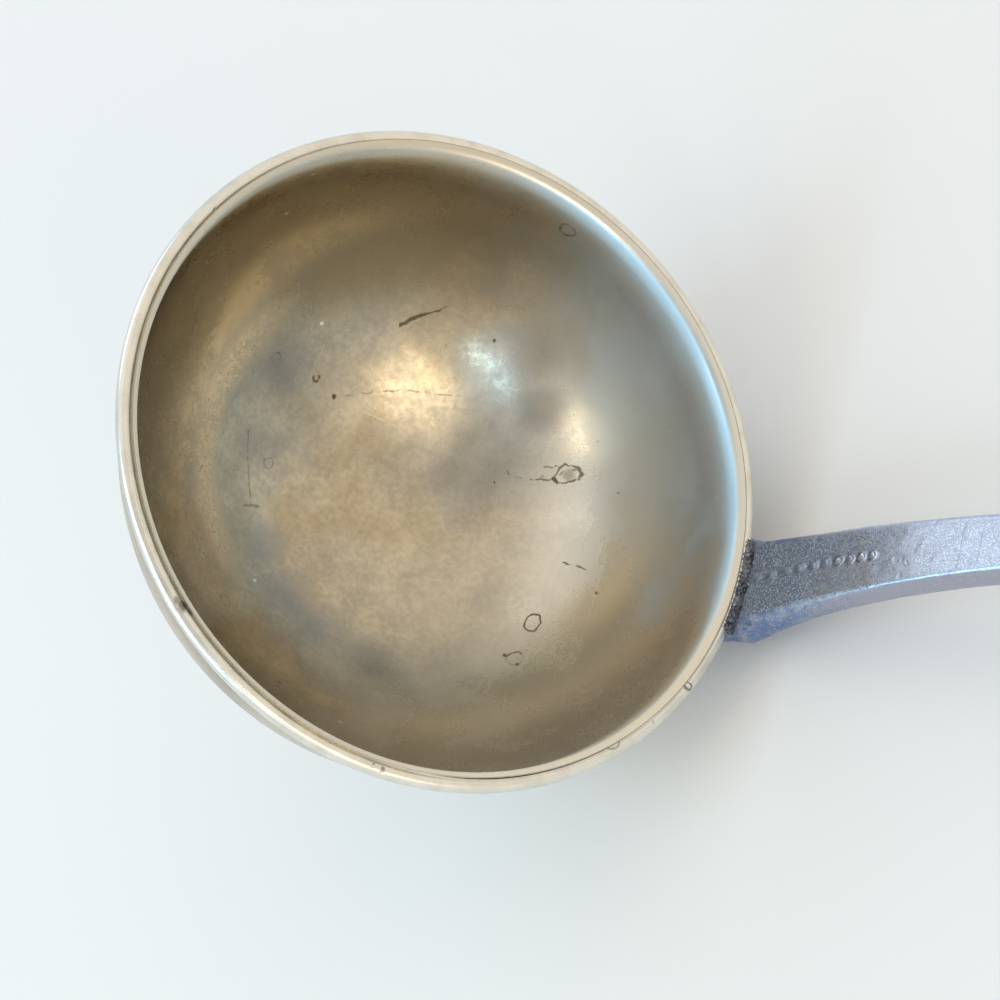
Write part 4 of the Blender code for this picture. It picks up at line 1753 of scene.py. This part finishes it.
    def flare_at(self, s: float) -> float:
        """1 at the foot, falling to 0 where the flare ends."""
        return fade(math.hypot(s, self.toe_softness) - self.toe_softness, self.flare_length, 2)

    def stem_lengths(self) -> np.ndarray:
        """Works out where the rings lie: close together along the dots, wider along the grip.

        Returns:
            Rising lengths along the front face.
        """
        spans = [
            np.arange(0.0, self.dots_to, self.dots_step),
            np.arange(self.dots_to, self.riser_to, self.riser_step),
            np.arange(self.riser_to, self.length, self.grip_step),
            np.linspace(self.length, self.length + self.hook_length, self.hook_rings),
        ]
        return np.concatenate(spans)

    def stem(self) -> tuple[list[Section], list[float]]:
        """Works out the sections from the rim wire to the hook's tip, which is rounded.

        Returns:
            The sections, and their lengths along the front face.
        """
        lengths = self.stem_lengths()
        sections = []
        for s, (x, z, lean) in zip(lengths, self.front_path(lengths)):
            flare = self.flare_at(s)
            front = self.width_at(s) / 2 - (1.0 - flare) * (self.chamfer - self.edge_bevel)
            widest = self.width_at(s) / 2 + mix(self.edge_bevel, self.root_flare, flare)
            back = widest - mix(self.back_inset, self.root_back_inset, flare)
            depth = mix(self.chamfer, self.root_flare_depth, flare)
            sections.append(Section(x, z, lean, front, widest, back, 0.0, depth, self.thickness_at(s)))
        last = sections[-1]
        for angle in np.radians(np.linspace(*self.tip_angles, self.tip_rings)):
            size = math.cos(angle)
            ahead, deeper = last.thickness / 2 * math.sin(angle), last.thickness / 2 * (1.0 - size)
            x = last.x + ahead * math.sin(last.tilt) + deeper * math.cos(last.tilt)
            z = last.z + ahead * math.cos(last.tilt) - deeper * math.sin(last.tilt)
            widths = (last.front * size, last.widest * size, last.back * size)
            depths = (0.0, last.widest_depth * size, last.thickness * size)
            sections.append(Section(x, z, last.tilt, *widths, *depths))
        return sections, [*lengths, *[lengths[-1]] * self.tip_rings]

    def tongue(self, foot: Section) -> tuple[list[Section], list[float]]:
        """Works out the sections from the tongue's tip up to the foot.

        Args:
            foot: the section at the rim wire.

        Returns:
            The sections, and their lengths, which count down from the rim.
        """
        full = foot.thickness + self.front_radius - self.form.wall_radius
        slope = self.form.semi_height**2 / self.form.wall_radius**2
        height = self.form.rim_height - self.tongue_drop
        below = self.form.spring - height
        tip_tilt = math.atan2(below, self.form.outer_radius(height) * slope)
        sections, lengths = [], []
        for turn in np.linspace(math.pi / 2, 0.0, self.tongue_rings):
            drop = mix(self.tongue_first, self.tongue_drop - self.tongue_last, math.sin(turn))
            share = drop / self.tongue_drop
            neck = min(1.0, drop / (self.tongue_drop - self.tongue_round))
            into_end = max(0.0, drop - self.tongue_drop + self.tongue_round) / self.tongue_round
            half = mix(self.tongue_width, self.tongue_neck, neck) / 2 * math.sqrt(1.0 - into_end**2)
            thick = mix(self.tongue_tip, full, (1.0 - share) ** self.tongue_power)
            tilt = mix(self.root_lean, tip_tilt, share**2)
            x = self.form.outer_radius(self.form.rim_height - drop) + self.clearance
            widths = (half, half, half * self.tongue_back)
            depths = (-self.tongue_sunk, thick * self.tongue_widest, thick)
            sections.append(Section(x, -drop, tilt, *widths, *depths))
            lengths.append(-drop)
        return sections, lengths

    def outline(self, section: Section) -> np.ndarray:
        """Works out a section's closed outline, its corners rounded and its front a little crowned.

        Args:
            section: the section.

        Returns:
            (depth, y) points.
        """
        half = [
            (np.array([section.front_depth, section.front]), self.edge_rounding),
            (np.array([section.widest_depth, section.widest]), self.side_rounding),
            (np.array([section.thickness, section.back]), self.back_rounding),
        ]
        corners = half + [(corner * np.array([1.0, -1.0]), radius) for corner, radius in reversed(half)]
        total = len(corners)
        starts, ends = [], []
        for i, (corner, radius) in enumerate(corners):
            for neighbour, kept in ((corners[i - 1][0], starts), (corners[(i + 1) % total][0], ends)):
                length = np.linalg.norm(neighbour - corner)
                kept.append(corner + (neighbour - corner) / length * min(radius, length * self.most_rounding))
        points = []
        for i, (corner, _) in enumerate(corners):
            for t in np.linspace(0.0, 1.0, self.corner_points):
                points.append((1 - t) ** 2 * starts[i] + 2 * t * (1 - t) * corner + t * t * ends[i])
            for u in np.linspace(-1.0, 1.0, self.edge_points[i] + 2)[1:-1]:
                on_front = i == total - 1
                if on_front:
                    u = mix(u**3, u, self.front_spread)
                point = mix(ends[i], starts[(i + 1) % total], (1.0 + u) / 2)
                if on_front:
                    point = point - np.array([self.crown * (1.0 - (point[1] / section.front) ** 2), 0.0])
                points.append(point)
        return np.array(points)

    def front_point(self, s: float) -> Point:
        """Point on the middle of the front face at a length along it."""
        x, z, lean = self.front_path([s])[0]
        return (x - self.crown * math.cos(lean), 0.0, self.form.rim_height + z + self.crown * math.sin(lean))

    def rings(self) -> tuple[np.ndarray, np.ndarray]:
        """Places the outlines of all sections.

        Returns:
            Rings from the tongue's tip to the hook's tip, and the length along the front of each.
        """
        stem, stem_lengths = self.stem()
        tongue, tongue_lengths = self.tongue(stem[0])
        rings = []
        for section in tongue + stem:
            outline = self.outline(section)
            depth, y = outline[:, 0], outline[:, 1]
            x = section.x + depth * math.cos(section.tilt)
            z = self.form.rim_height + section.z - depth * math.sin(section.tilt)
            rings.append(np.stack([x, y, z], axis=1))
        return np.array(rings), np.array(tongue_lengths + stem_lengths)

    def seat(self, points: np.ndarray) -> np.ndarray:
        """Pushes points that lie inside the bowl or the wire out to their surfaces.

        Args:
            points: an array of points in the bowl's frame.

        Returns:
            An array of the same shape.
        """
        seated = points.copy()
        radius = np.hypot(points[..., 0], points[..., 1])
        height = points[..., 2]
        below = np.clip(self.form.spring - height, 0.0, None) / self.form.semi_height
        wall = self.form.wall_radius * np.sqrt(np.clip(1.0 - below**2, 0.0, None))
        inside = (radius < wall) & (height < self.form.depth)
        scale = np.where(inside, wall / np.maximum(radius, 1e-6), 1.0)
        seated[..., 0] *= scale
        seated[..., 1] *= scale
        radius = np.hypot(seated[..., 0], seated[..., 1])
        apart = np.stack([radius - self.form.wire_ring, height - self.form.rim_height], axis=-1)
        reach = np.linalg.norm(apart, axis=-1)
        push = np.maximum(self.form.wire_radius / np.maximum(reach, 1e-6), 1.0)
        new_radius = self.form.wire_ring + apart[..., 0] * push
        turn = new_radius / np.maximum(radius, 1e-6)
        seated[..., 0] *= turn
        seated[..., 1] *= turn
        seated[..., 2] = self.form.rim_height + apart[..., 1] * push
        return seated

    def build(self) -> Mesh:
        """Lofts the rings, seats them, and notes where each point lies along and across the handle.

        Returns:
            The handle's mesh, with the point attributes along, facing and edge.
        """
        rings, lengths = self.rings()
        seated = self.seat(rings)
        mesh = grid_mesh("handle", seated)
        along = np.repeat(lengths, rings.shape[1])
        front_from = rings.shape[1] - self.edge_points[-1] - self.corner_points // 2
        facing = np.tile(np.arange(rings.shape[1]) >= front_from, rings.shape[0]).astype(float)
        span = self.corner_points + self.edge_points[0] // 3
        number = np.arange(rings.shape[1])
        last = rings.shape[1] - self.edge_points[-1]
        on_edge = ((number > 2) & (number < span)) | ((number >= last - span) & (number < last - 3))
        # edge weights for a painted highlight and a smoother finish, fading out over the flared foot
        worn = np.array([0.0 if s < 0.0 else (1.0 - self.flare_at(s)) ** 2 for s in lengths])
        edge = (worn[:, None] * on_edge[None, :]).ravel()
        notes = {
            "along": [*along, lengths[0], lengths[-1]],
            "facing": [*facing, 0.0, 0.0],
            "edge": [*edge, 0.0, 0.0],
        }
        for name, values in notes.items():
            attribute = mesh.attributes.new(name, "FLOAT", "POINT")
            attribute.data.foreach_set("value", np.array(values, dtype=np.float32))
        return mesh

    def dress(self, shop: EffectShop, skin: "ForgedSkin") -> Material:
        """Gives the handle its forged iron, with the punched dots of its skin."""
        dots = [self.front_point(s) for s in skin.dot_lengths()]
        return ForgedIron(MaterialKit("forged_iron", shop), dots).material()


class NodeTool:
    """Geometry nodes that work over a piece's mesh; each tool gives its own tree and sizes."""

    def apply(self, obj: Object, material: Material) -> None:
        """Runs the tree on an object and keeps the result as its plain mesh.

        Args:
            obj: the object, laid down, with the point attributes that the tree reads.
            material: its finish.
        """
        tree = self.tree()
        values = {**self.sizes(), "Material": material}
        modifier = obj.modifiers.new(tree.name, "NODES")
        modifier.node_group = tree
        for item in tree.interface.items_tree:
            if item.item_type == "SOCKET" and item.in_out == "INPUT" and item.name in values:
                modifier[item.identifier] = values[item.name]
        obj.update_tag()
        depsgraph = bpy.context.evaluated_depsgraph_get()
        mesh = bpy.data.meshes.new_from_object(obj.evaluated_get(depsgraph), depsgraph=depsgraph)
        obj.modifiers.remove(modifier)
        old = obj.data
        obj.data = mesh
        mesh.name = obj.name
        bpy.data.meshes.remove(old)

    @staticmethod
    def close(kit: NodeKit, out: Node, geometry: Socket, material: Socket) -> NodeTree:
        """Gives the finished geometry its material and ends the tree with it."""
        dressed = kit.fill(kit.add("GeometryNodeSetMaterial"), Geometry=geometry, Material=material)
        return kit.fill(out, Geometry=dressed.outputs["Geometry"]).id_data


@dataclass
class ForgedSkin(NodeTool):
    """Geometry nodes that give the handle its hammered skin and the row of punched dots."""

    count: int = 10
    first: float = 0.0026
    pitch: float = 0.0031
    ratio: float = 0.94
    diameter: float = 0.0018
    depth: float = 0.00042
    lip: float = 0.00004
    hammer: float = 0.00016
    grit: float = 0.00006
    inset: float = 0.00012
    seed: float = 3.0
    across: Point = (0.0, 1.0, 0.0)
    seed_towards: Point = (1.0, 0.7, 0.3)
    hammer_scale: float = 190.0
    grit_scale: float = 1250.0
    rubbed_from: Span = (0.012, 0.034)
    rubbed_grit: float = 0.35
    seat_ends: Span = (-0.0002, 0.0012)
    uneven_scale: float = 900.0
    unevenness: float = 0.45
    lip_rises: Span = (0.7, 1.05)
    lip_falls: Span = (1.05, 1.6)

    def dot_lengths(self) -> list[float]:
        """Length along the front face of each dot."""
        return [self.first + self.pitch * (1.0 - self.ratio**i) / (1.0 - self.ratio) for i in range(self.count)]

    def sizes(self) -> dict[str, float]:
        """The tree's sizes and seed by the names of its inputs."""
        return {
            "Dots": self.count,
            "First Dot": self.first,
            "Pitch": self.pitch,
            "Pitch Ratio": self.ratio,
            "Dot Diameter": self.diameter,
            "Dot Depth": self.depth,
            "Dot Lip": self.lip,
            "Hammer Depth": self.hammer,
            "Grit Depth": self.grit,
            "Inset": self.inset,
            "Seed": self.seed,
        }

    def tree(self) -> NodeTree:
        """Builds the tree, with an input for each size.

        Returns:
            The geometry tree.
        """
        inputs = {"Geometry": GEOMETRY, **self.sizes(), "Across": self.across, "Material": MATERIAL}
        kit, given, out = new_group("forged_skin", "GeometryNodeTree", inputs, ("Geometry", GEOMETRY))
        place = kit.add("GeometryNodeInputPosition").outputs["Position"]
        normal = kit.add("GeometryNodeInputNormal").outputs["Normal"]
        along = self._named(kit, "along")
        facing = self._named(kit, "facing")
        rubbed = kit.step(along, *self.rubbed_from, 1.0, self.rubbed_grit)
        shifted = kit.vector("ADD", place, kit.scaled(self.seed_towards, given["Seed"]))
        hammer = kit.minus(kit.noise(shifted, self.hammer_scale), 0.5)
        grit = kit.minus(kit.noise(shifted, self.grit_scale, 3.0, 0.6), 0.5)
        off_seat = kit.step(along, *self.seat_ends)
        hammered = kit.times(hammer, given["Hammer Depth"])
        gritty = kit.times(kit.times(grit, given["Grit Depth"]), rubbed)
        rough = kit.times(kit.plus(hammered, gritty), off_seat)
        rough = kit.minus(rough, given["Inset"])
        offset = kit.plus(rough, kit.times(facing, self._dots(kit, given, along, place)))
        moved = kit.add("GeometryNodeSetPosition")
        kit.fill(moved, Geometry=given["Geometry"], Offset=kit.scaled(normal, offset))
        realized = kit.fill(kit.add("GeometryNodeRealizeInstances"), Geometry=moved.outputs["Geometry"])
        return self.close(kit, out, realized.outputs["Geometry"], given["Material"])

    @staticmethod
    def _named(kit: NodeKit, name: str) -> Socket:
        """Value of a point attribute."""
        node = kit.add("GeometryNodeInputNamedAttribute", data_type="FLOAT")
        return kit.fill(node, Name=name).outputs["Attribute"]

    def _dots(self, kit: NodeKit, given: NodeOutputs, along: Socket, place: Socket) -> Socket:
        """Makes a row of punched dots, each a hollow with a slight lip.

        The dots' places are a geometric row, so the number of the nearest dot follows from the length along.

        Args:
            kit: the tree's kit.
            given: the tree's inputs.
            along: length along the front face.
            place: position.

        Returns:
            The offset along the normal.
        """
        ratio = given["Pitch Ratio"]
        shrink = kit.minus(1.0, ratio)
        run = kit.minus(along, given["First Dot"])
        share = kit.math("DIVIDE", kit.times(run, shrink), given["Pitch"])
        number = kit.math("LOGARITHM", kit.math("MAXIMUM", kit.minus(1.0, share), 0.01), ratio)
        last = kit.minus(given["Dots"], 1.0)
        number = kit.math("MINIMUM", kit.math("MAXIMUM", kit.math("ROUND", number), 0.0), last)
        passed = kit.math("DIVIDE", kit.minus(1.0, kit.math("POWER", ratio, number)), shrink)
        centre = kit.math("MULTIPLY_ADD", passed, given["Pitch"], given["First Dot"])
        lengthwise = kit.minus(along, centre)
        sideways = kit.vector("DOT_PRODUCT", place, given["Across"])
        squares = [kit.math("POWER", value, 2.0) for value in (lengthwise, sideways)]
        apart = kit.math("SQRT", kit.plus(*squares))
        uneven = kit.minus(kit.noise(place, self.uneven_scale), 0.5)
        diameter = kit.times(given["Dot Diameter"], kit.math("POWER", ratio, number))
        apart = kit.math("MULTIPLY_ADD", uneven, kit.times(diameter, self.unevenness), apart)
        share_out = kit.math("DIVIDE", apart, kit.times(diameter, 0.5))
        share_out = kit.math("MAXIMUM", share_out, 0.0)
        hollow = kit.math("MAXIMUM", kit.minus(1.0, kit.math("POWER", share_out, 2.0)), 0.0)
        falls = kit.step(share_out, *self.lip_falls, 1.0, 0.0)
        lip = kit.times(kit.step(share_out, *self.lip_rises), falls)
        sunk = kit.times(hollow, kit.times(given["Dot Depth"], -1.0))
        return kit.math("MULTIPLY_ADD", lip, given["Dot Lip"], sunk)


@dataclass
class SolderGrains(NodeTool):
    """Geometry nodes that scatter small grains of metal on the solder at the handle's foot."""

    density: float = 1.3e7
    smallest: float = 0.00004
    largest: float = 0.00014
    lumps: float = 0.00045
    lump_scale: float = 1100.0
    seed: int = 11

    def sizes(self) -> dict[str, float]:
        """The tree's sizes and seed by the names of its inputs."""
        grains = {"Density": self.density, "Smallest": self.smallest, "Largest": self.largest}
        return {**grains, "Lumps": self.lumps, "Seed": self.seed}

    def tree(self) -> NodeTree:
        """Builds the tree, with an input for each size and the seed.

        Returns:
            The geometry tree.
        """
        inputs = {"Geometry": GEOMETRY, **self.sizes(), "Material": MATERIAL}
        kit, given, out = new_group("solder_grains", "GeometryNodeTree", inputs, ("Geometry", GEOMETRY))
        place = kit.add("GeometryNodeInputPosition").outputs["Position"]
        normal = kit.add("GeometryNodeInputNormal").outputs["Normal"]
        lump = kit.minus(kit.noise(place, self.lump_scale), 0.5)
        push = kit.scaled(normal, kit.times(lump, given["Lumps"]))
        moved = kit.add("GeometryNodeSetPosition")
        kit.fill(moved, Geometry=given["Geometry"], Offset=push)
        points = kit.add("GeometryNodeDistributePointsOnFaces")
        kit.fill(points, Mesh=moved.outputs["Geometry"])
        kit.fill(points, Density=given["Density"], Seed=given["Seed"])
        ball = kit.fill(kit.add("GeometryNodeMeshIcoSphere"), Radius=1.0, Subdivisions=2)
        size = kit.add("FunctionNodeRandomValue", data_type="FLOAT")
        numbers = [socket for socket in size.inputs if socket.type == "VALUE"]
        kit.put(numbers[0], given["Smallest"])
        kit.put(numbers[1], given["Largest"])
        kit.fill(size, Seed=given["Seed"])
        scattered = kit.add("GeometryNodeInstanceOnPoints")
        kit.fill(scattered, Points=points.outputs["Points"], Instance=ball.outputs["Mesh"])
        kit.fill(scattered, Scale=next(socket for socket in size.outputs if socket.type == "VALUE"))
        joined = kit.fill(kit.add("GeometryNodeJoinGeometry"), Geometry=moved.outputs["Geometry"])
        kit.fill(joined, Geometry=scattered.outputs["Instances"])
        realized = kit.fill(kit.add("GeometryNodeRealizeInstances"), Geometry=joined.outputs["Geometry"])
        smooth = kit.fill(kit.add("GeometryNodeSetShadeSmooth"), Geometry=realized.outputs["Geometry"])
        return self.close(kit, out, smooth.outputs["Geometry"], given["Material"])


@dataclass
class HandleSolder:
    """The rough fillet of dark solder where the handle's foot meets the wire."""

    form: BowlForm
    handle: Handle
    height: float = 0.0011
    inner_angle: float = math.radians(106.0)
    outer_angle: float = math.radians(20.0)
    overhang: float = 0.0001
    toe: float = 0.0017
    rings: int = 90
    end_share: float = 0.35
    end_power: int = 5
    sides: int = 8
    sink: float = 0.00005
    waves: float = 6.0
    wave: float = 0.22
    wave_seed: tuple[float, float] = (1.3, 0.4)
    behind: tuple[float, float] = (0.0009, 0.0004)
    hollow: tuple[float, float] = (0.00006, -0.00016)
    back_shares: tuple[float, ...] = (0.0, 0.35, 0.7)
    slope_shares: tuple[float, ...] = (0.0, 0.25, 0.5, 0.75)

    def build(self) -> Mesh:
        """Runs a humped section along the wire in front of the foot.

        Returns:
            The solder's mesh, before its grains.
        """
        centre = np.array([self.form.wire_ring, self.form.rim_height])
        reach = self.handle.root_width / 2 + self.overhang
        first, last = (math.asin(side / self.form.wire_ring) for side in (-reach - self.toe, reach))
        radius = self.form.wire_radius - self.sink
        along_wire = arc(centre, radius, self.inner_angle, self.outer_angle, self.sides)
        lean = math.tan(self.handle.root_lean)
        foot = np.array([self.handle.front_radius, self.form.rim_height + self.handle.front_height])
        top = foot + np.array([self.height * lean, self.height])
        least = self.form.wire_radius / np.linalg.norm(top - centre)
        back = along_wire[-1] + np.array(self.behind)
        sections = []
        for i in range(self.rings + 1):
            along = 2.0 * i / self.rings - 1.0
            angle = mix(first, last, i / self.rings)
            size = mix(1.0, self.end_share, abs(along) ** self.end_power)
            wave = 1.0 + self.wave * noise.noise(Vector((along * self.waves, *self.wave_seed)))
            peak = centre + (top - centre) * mix(least, 1.0, size * wave)
            outer = [mix(back, peak, t) for t in self.back_shares]
            dips = [np.array(self.hollow) * math.sin(math.pi * t) for t in self.slope_shares]
            slope = [mix(peak, along_wire[0], t) + dip for t, dip in zip(self.slope_shares, dips)]
            outline = np.array([*along_wire, *outer, *slope])
            sections.append(spun(outline, np.array([angle]))[0])
        return grid_mesh("handle_solder", np.array(sections))

    def dress(self, shop: EffectShop) -> Material:
        """Gives the fillet its dark gritty solder."""
        return SolderMetal(MaterialKit("foot_solder", shop)).material()


@dataclass
class PhotoCamera:
    """The photograph's viewpoint, in the bowl's frame round the rim's centre."""

    angle: float = math.radians(25.0)
    azimuth: float = math.radians(-35.31)
    elevation: float = math.radians(59.73)
    roll: float = math.radians(56.19)
    distance: float = 0.3128
    shift_right: float = -0.00649
    shift_up: float = 0.00693
    nearest: float = 0.01

    def add(self, posture: Posture, form: BowlForm) -> None:
        """Makes the camera and gives it to the scene.

        Args:
            posture: how the ladle lies.
            form: the bowl's sizes.
        """
        level = math.cos(self.elevation)
        right = Vector((math.cos(self.azimuth), math.sin(self.azimuth), 0.0))
        back = Vector((right.y * level, -right.x * level, math.sin(self.elevation)))
        up = back.cross(right)
        right, up = (
            right * math.cos(self.roll) + up * math.sin(self.roll),
            up * math.cos(self.roll) - right * math.sin(self.roll),
        )
        rim_centre = Vector((0.0, 0.0, form.rim_height))
        eye = back * self.distance - right * self.shift_right - up * self.shift_up + rim_centre
        axes = Matrix((right, up, back)).transposed().to_4x4()
        data = bpy.data.cameras.new("photo_camera")
        data.sensor_fit = "HORIZONTAL"
        data.angle = self.angle
        data.clip_start = self.nearest
        camera = bpy.data.objects.new("photo_camera", data)
        camera.matrix_world = posture.matrix() @ Matrix.Translation(eye) @ axes
        bpy.context.scene.collection.objects.link(camera)
        bpy.context.scene.camera = camera


@dataclass(frozen=True)
class Lamp:
    """A soft area light, placed by its direction from the bowl."""

    name: str
    azimuth: float
    elevation: float
    width: float
    height: float
    power: float
    colour: Colour
    distance: float = 1.5


@dataclass
class Studio:
    """Pale floor, soft world and a few large lamps."""

    floor_colour: Colour = (0.80, 0.79, 0.77)
    floor_size: float = 6.0
    floor_roughness: float = 0.85
    floor_cloud_scale: float = 3.0
    floor_cloud: float = 0.97
    warm_side: Colour = (0.97, 0.89, 0.77)
    cool_side: Colour = (0.76, 0.83, 0.92)
    dark_card: Colour = (0.53, 0.55, 0.59)
    card_towards: Point = (0.578, -0.411, 0.705)
    card_span: Span = (0.82, 0.98)
    warm_span: Span = (-0.7, 0.5)
    lamps: tuple[Lamp, ...] = (
        Lamp("warm_window", -31.0, 19.0, 0.56, 0.64, 3.20, (1.0, 0.86, 0.66)),
        Lamp("cool_strip", -61.0, 28.0, 0.14, 0.52, 1.48, (0.43, 0.73, 1.0)),
        Lamp("cream_window", -103.0, 56.0, 0.28, 0.28, 1.06, (1.0, 0.84, 0.53)),
        Lamp("side_window", -116.0, 27.0, 1.00, 0.36, 4.80, (0.46, 0.76, 1.0)),
        Lamp("lip_window", -136.0, 53.0, 0.56, 0.56, 3.70, (0.44, 0.77, 1.0)),
        Lamp("far_window", 147.0, 43.0, 0.80, 0.60, 2.60, (0.78, 0.89, 1.0)),
        Lamp("overhead", 100.0, 78.0, 1.00, 1.00, 0.60, (1.0, 0.96, 0.88)),
    )
    aim: Point = (-0.115, 0.0, 0.035)

    def add(self, shop: EffectShop) -> None:
        """Makes the floor, the world and the lamps.

        Args:
            shop: the shared effects.
        """
        self._floor(shop)
        self._world()
        for lamp in self.lamps:
            self._lamp(lamp)

    def _floor(self, shop: EffectShop) -> None:
        """Lays a wide pale floor under the ladle.

        Args:
            shop: the shared effects.
        """
        half = self.floor_size / 2
        corners = [(-half, -half, 0.0), (half, -half, 0.0), (half, half, 0.0), (-half, half, 0.0)]
        mesh = bpy.data.meshes.new("floor")
        mesh.from_pydata(corners, [], [(0, 1, 2, 3)])
        kit = MaterialKit("floor", shop, self.floor_roughness, 0.0)
        cloud = kit.noise(kit.add("ShaderNodeTexCoord").outputs["Object"], self.floor_cloud_scale)
        darker = tuple(self.floor_cloud * part for part in self.floor_colour)
        kit.fill(kit.shader, Base_Color=kit.blend(cloud, self.floor_colour, darker))
        mesh.materials.append(kit.material)
        floor = bpy.data.objects.new("floor", mesh)
        floor.location.z = CAD_BOX[0][2]
        bpy.context.scene.collection.objects.link(floor)

    def _world(self) -> None:
        """Lights softly from all round, warm on one side and cool on the other, with a dark card high up."""
        world = bpy.data.worlds.new("studio")
        world.use_nodes = True
        kit = NodeKit(world.node_tree)
        towards = kit.add("ShaderNodeTexCoord").outputs["Generated"]
        parts = kit.fill(kit.add("ShaderNodeSeparateXYZ"), Vector=towards)
        sky = kit.blend(kit.step(parts.outputs["X"], *self.warm_span), self.cool_side, self.warm_side)
        near = kit.vector("DOT_PRODUCT", towards, self.card_towards)
        sky = kit.blend(kit.step(near, *self.card_span), sky, self.dark_card)
        kit.fill(world.node_tree.nodes["Background"], Color=sky)
        bpy.context.scene.world = world

    def _lamp(self, lamp: Lamp) -> None:
        """Hangs one area light that faces the bowl.

        Args:
            lamp: its place, size, power and colour.
        """
        azimuth, elevation = math.radians(lamp.azimuth), math.radians(lamp.elevation)
        level = math.cos(elevation)
        direction = Vector((math.cos(azimuth) * level, math.sin(azimuth) * level, math.sin(elevation)))
        data = bpy.data.lights.new(lamp.name, "AREA")
        data.shape = "RECTANGLE"
        data.size, data.size_y = lamp.width, lamp.height
        data.energy = lamp.power
        data.color = lamp.colour
        light = bpy.data.objects.new(lamp.name, data)
        light.location = Vector(self.aim) + direction * lamp.distance
        light.rotation_euler = direction.to_track_quat("Z", "Y").to_euler()
        bpy.context.scene.collection.objects.link(light)


def main() -> None:
    """Builds the studio, the camera and every piece."""
    logging.basicConfig(level=logging.INFO, format="%(name)s: %(message)s")
    bpy.context.scene.view_settings.view_transform = "Standard"
    posture = Posture.from_record(frame["record"])
    form = BowlForm()
    shop = EffectShop(posture)
    PhotoCamera().add(posture, form)
    Studio().add(shop)
    handle, skin = Handle(form), ForgedSkin()
    foot = HandleSolder(form, handle)
    for node, part in (("bowl", Bowl(form)), ("rim_wire", RimWire(form)), ("rim_solder", RimSolder(form))):
        piece = Piece(node, posture)
        piece.tie(piece.show(part.build(), part.dress(shop)))
    for node, mesh, material, nodes in (
        ("handle", handle.build(), handle.dress(shop, skin), skin),
        ("handle_solder", foot.build(), foot.dress(shop), SolderGrains()),
    ):
        piece = Piece(node, posture)
        obj = piece.show(mesh, material)
        nodes.apply(obj, material)
        piece.tie(obj)


if __name__ == "__main__":
    main()
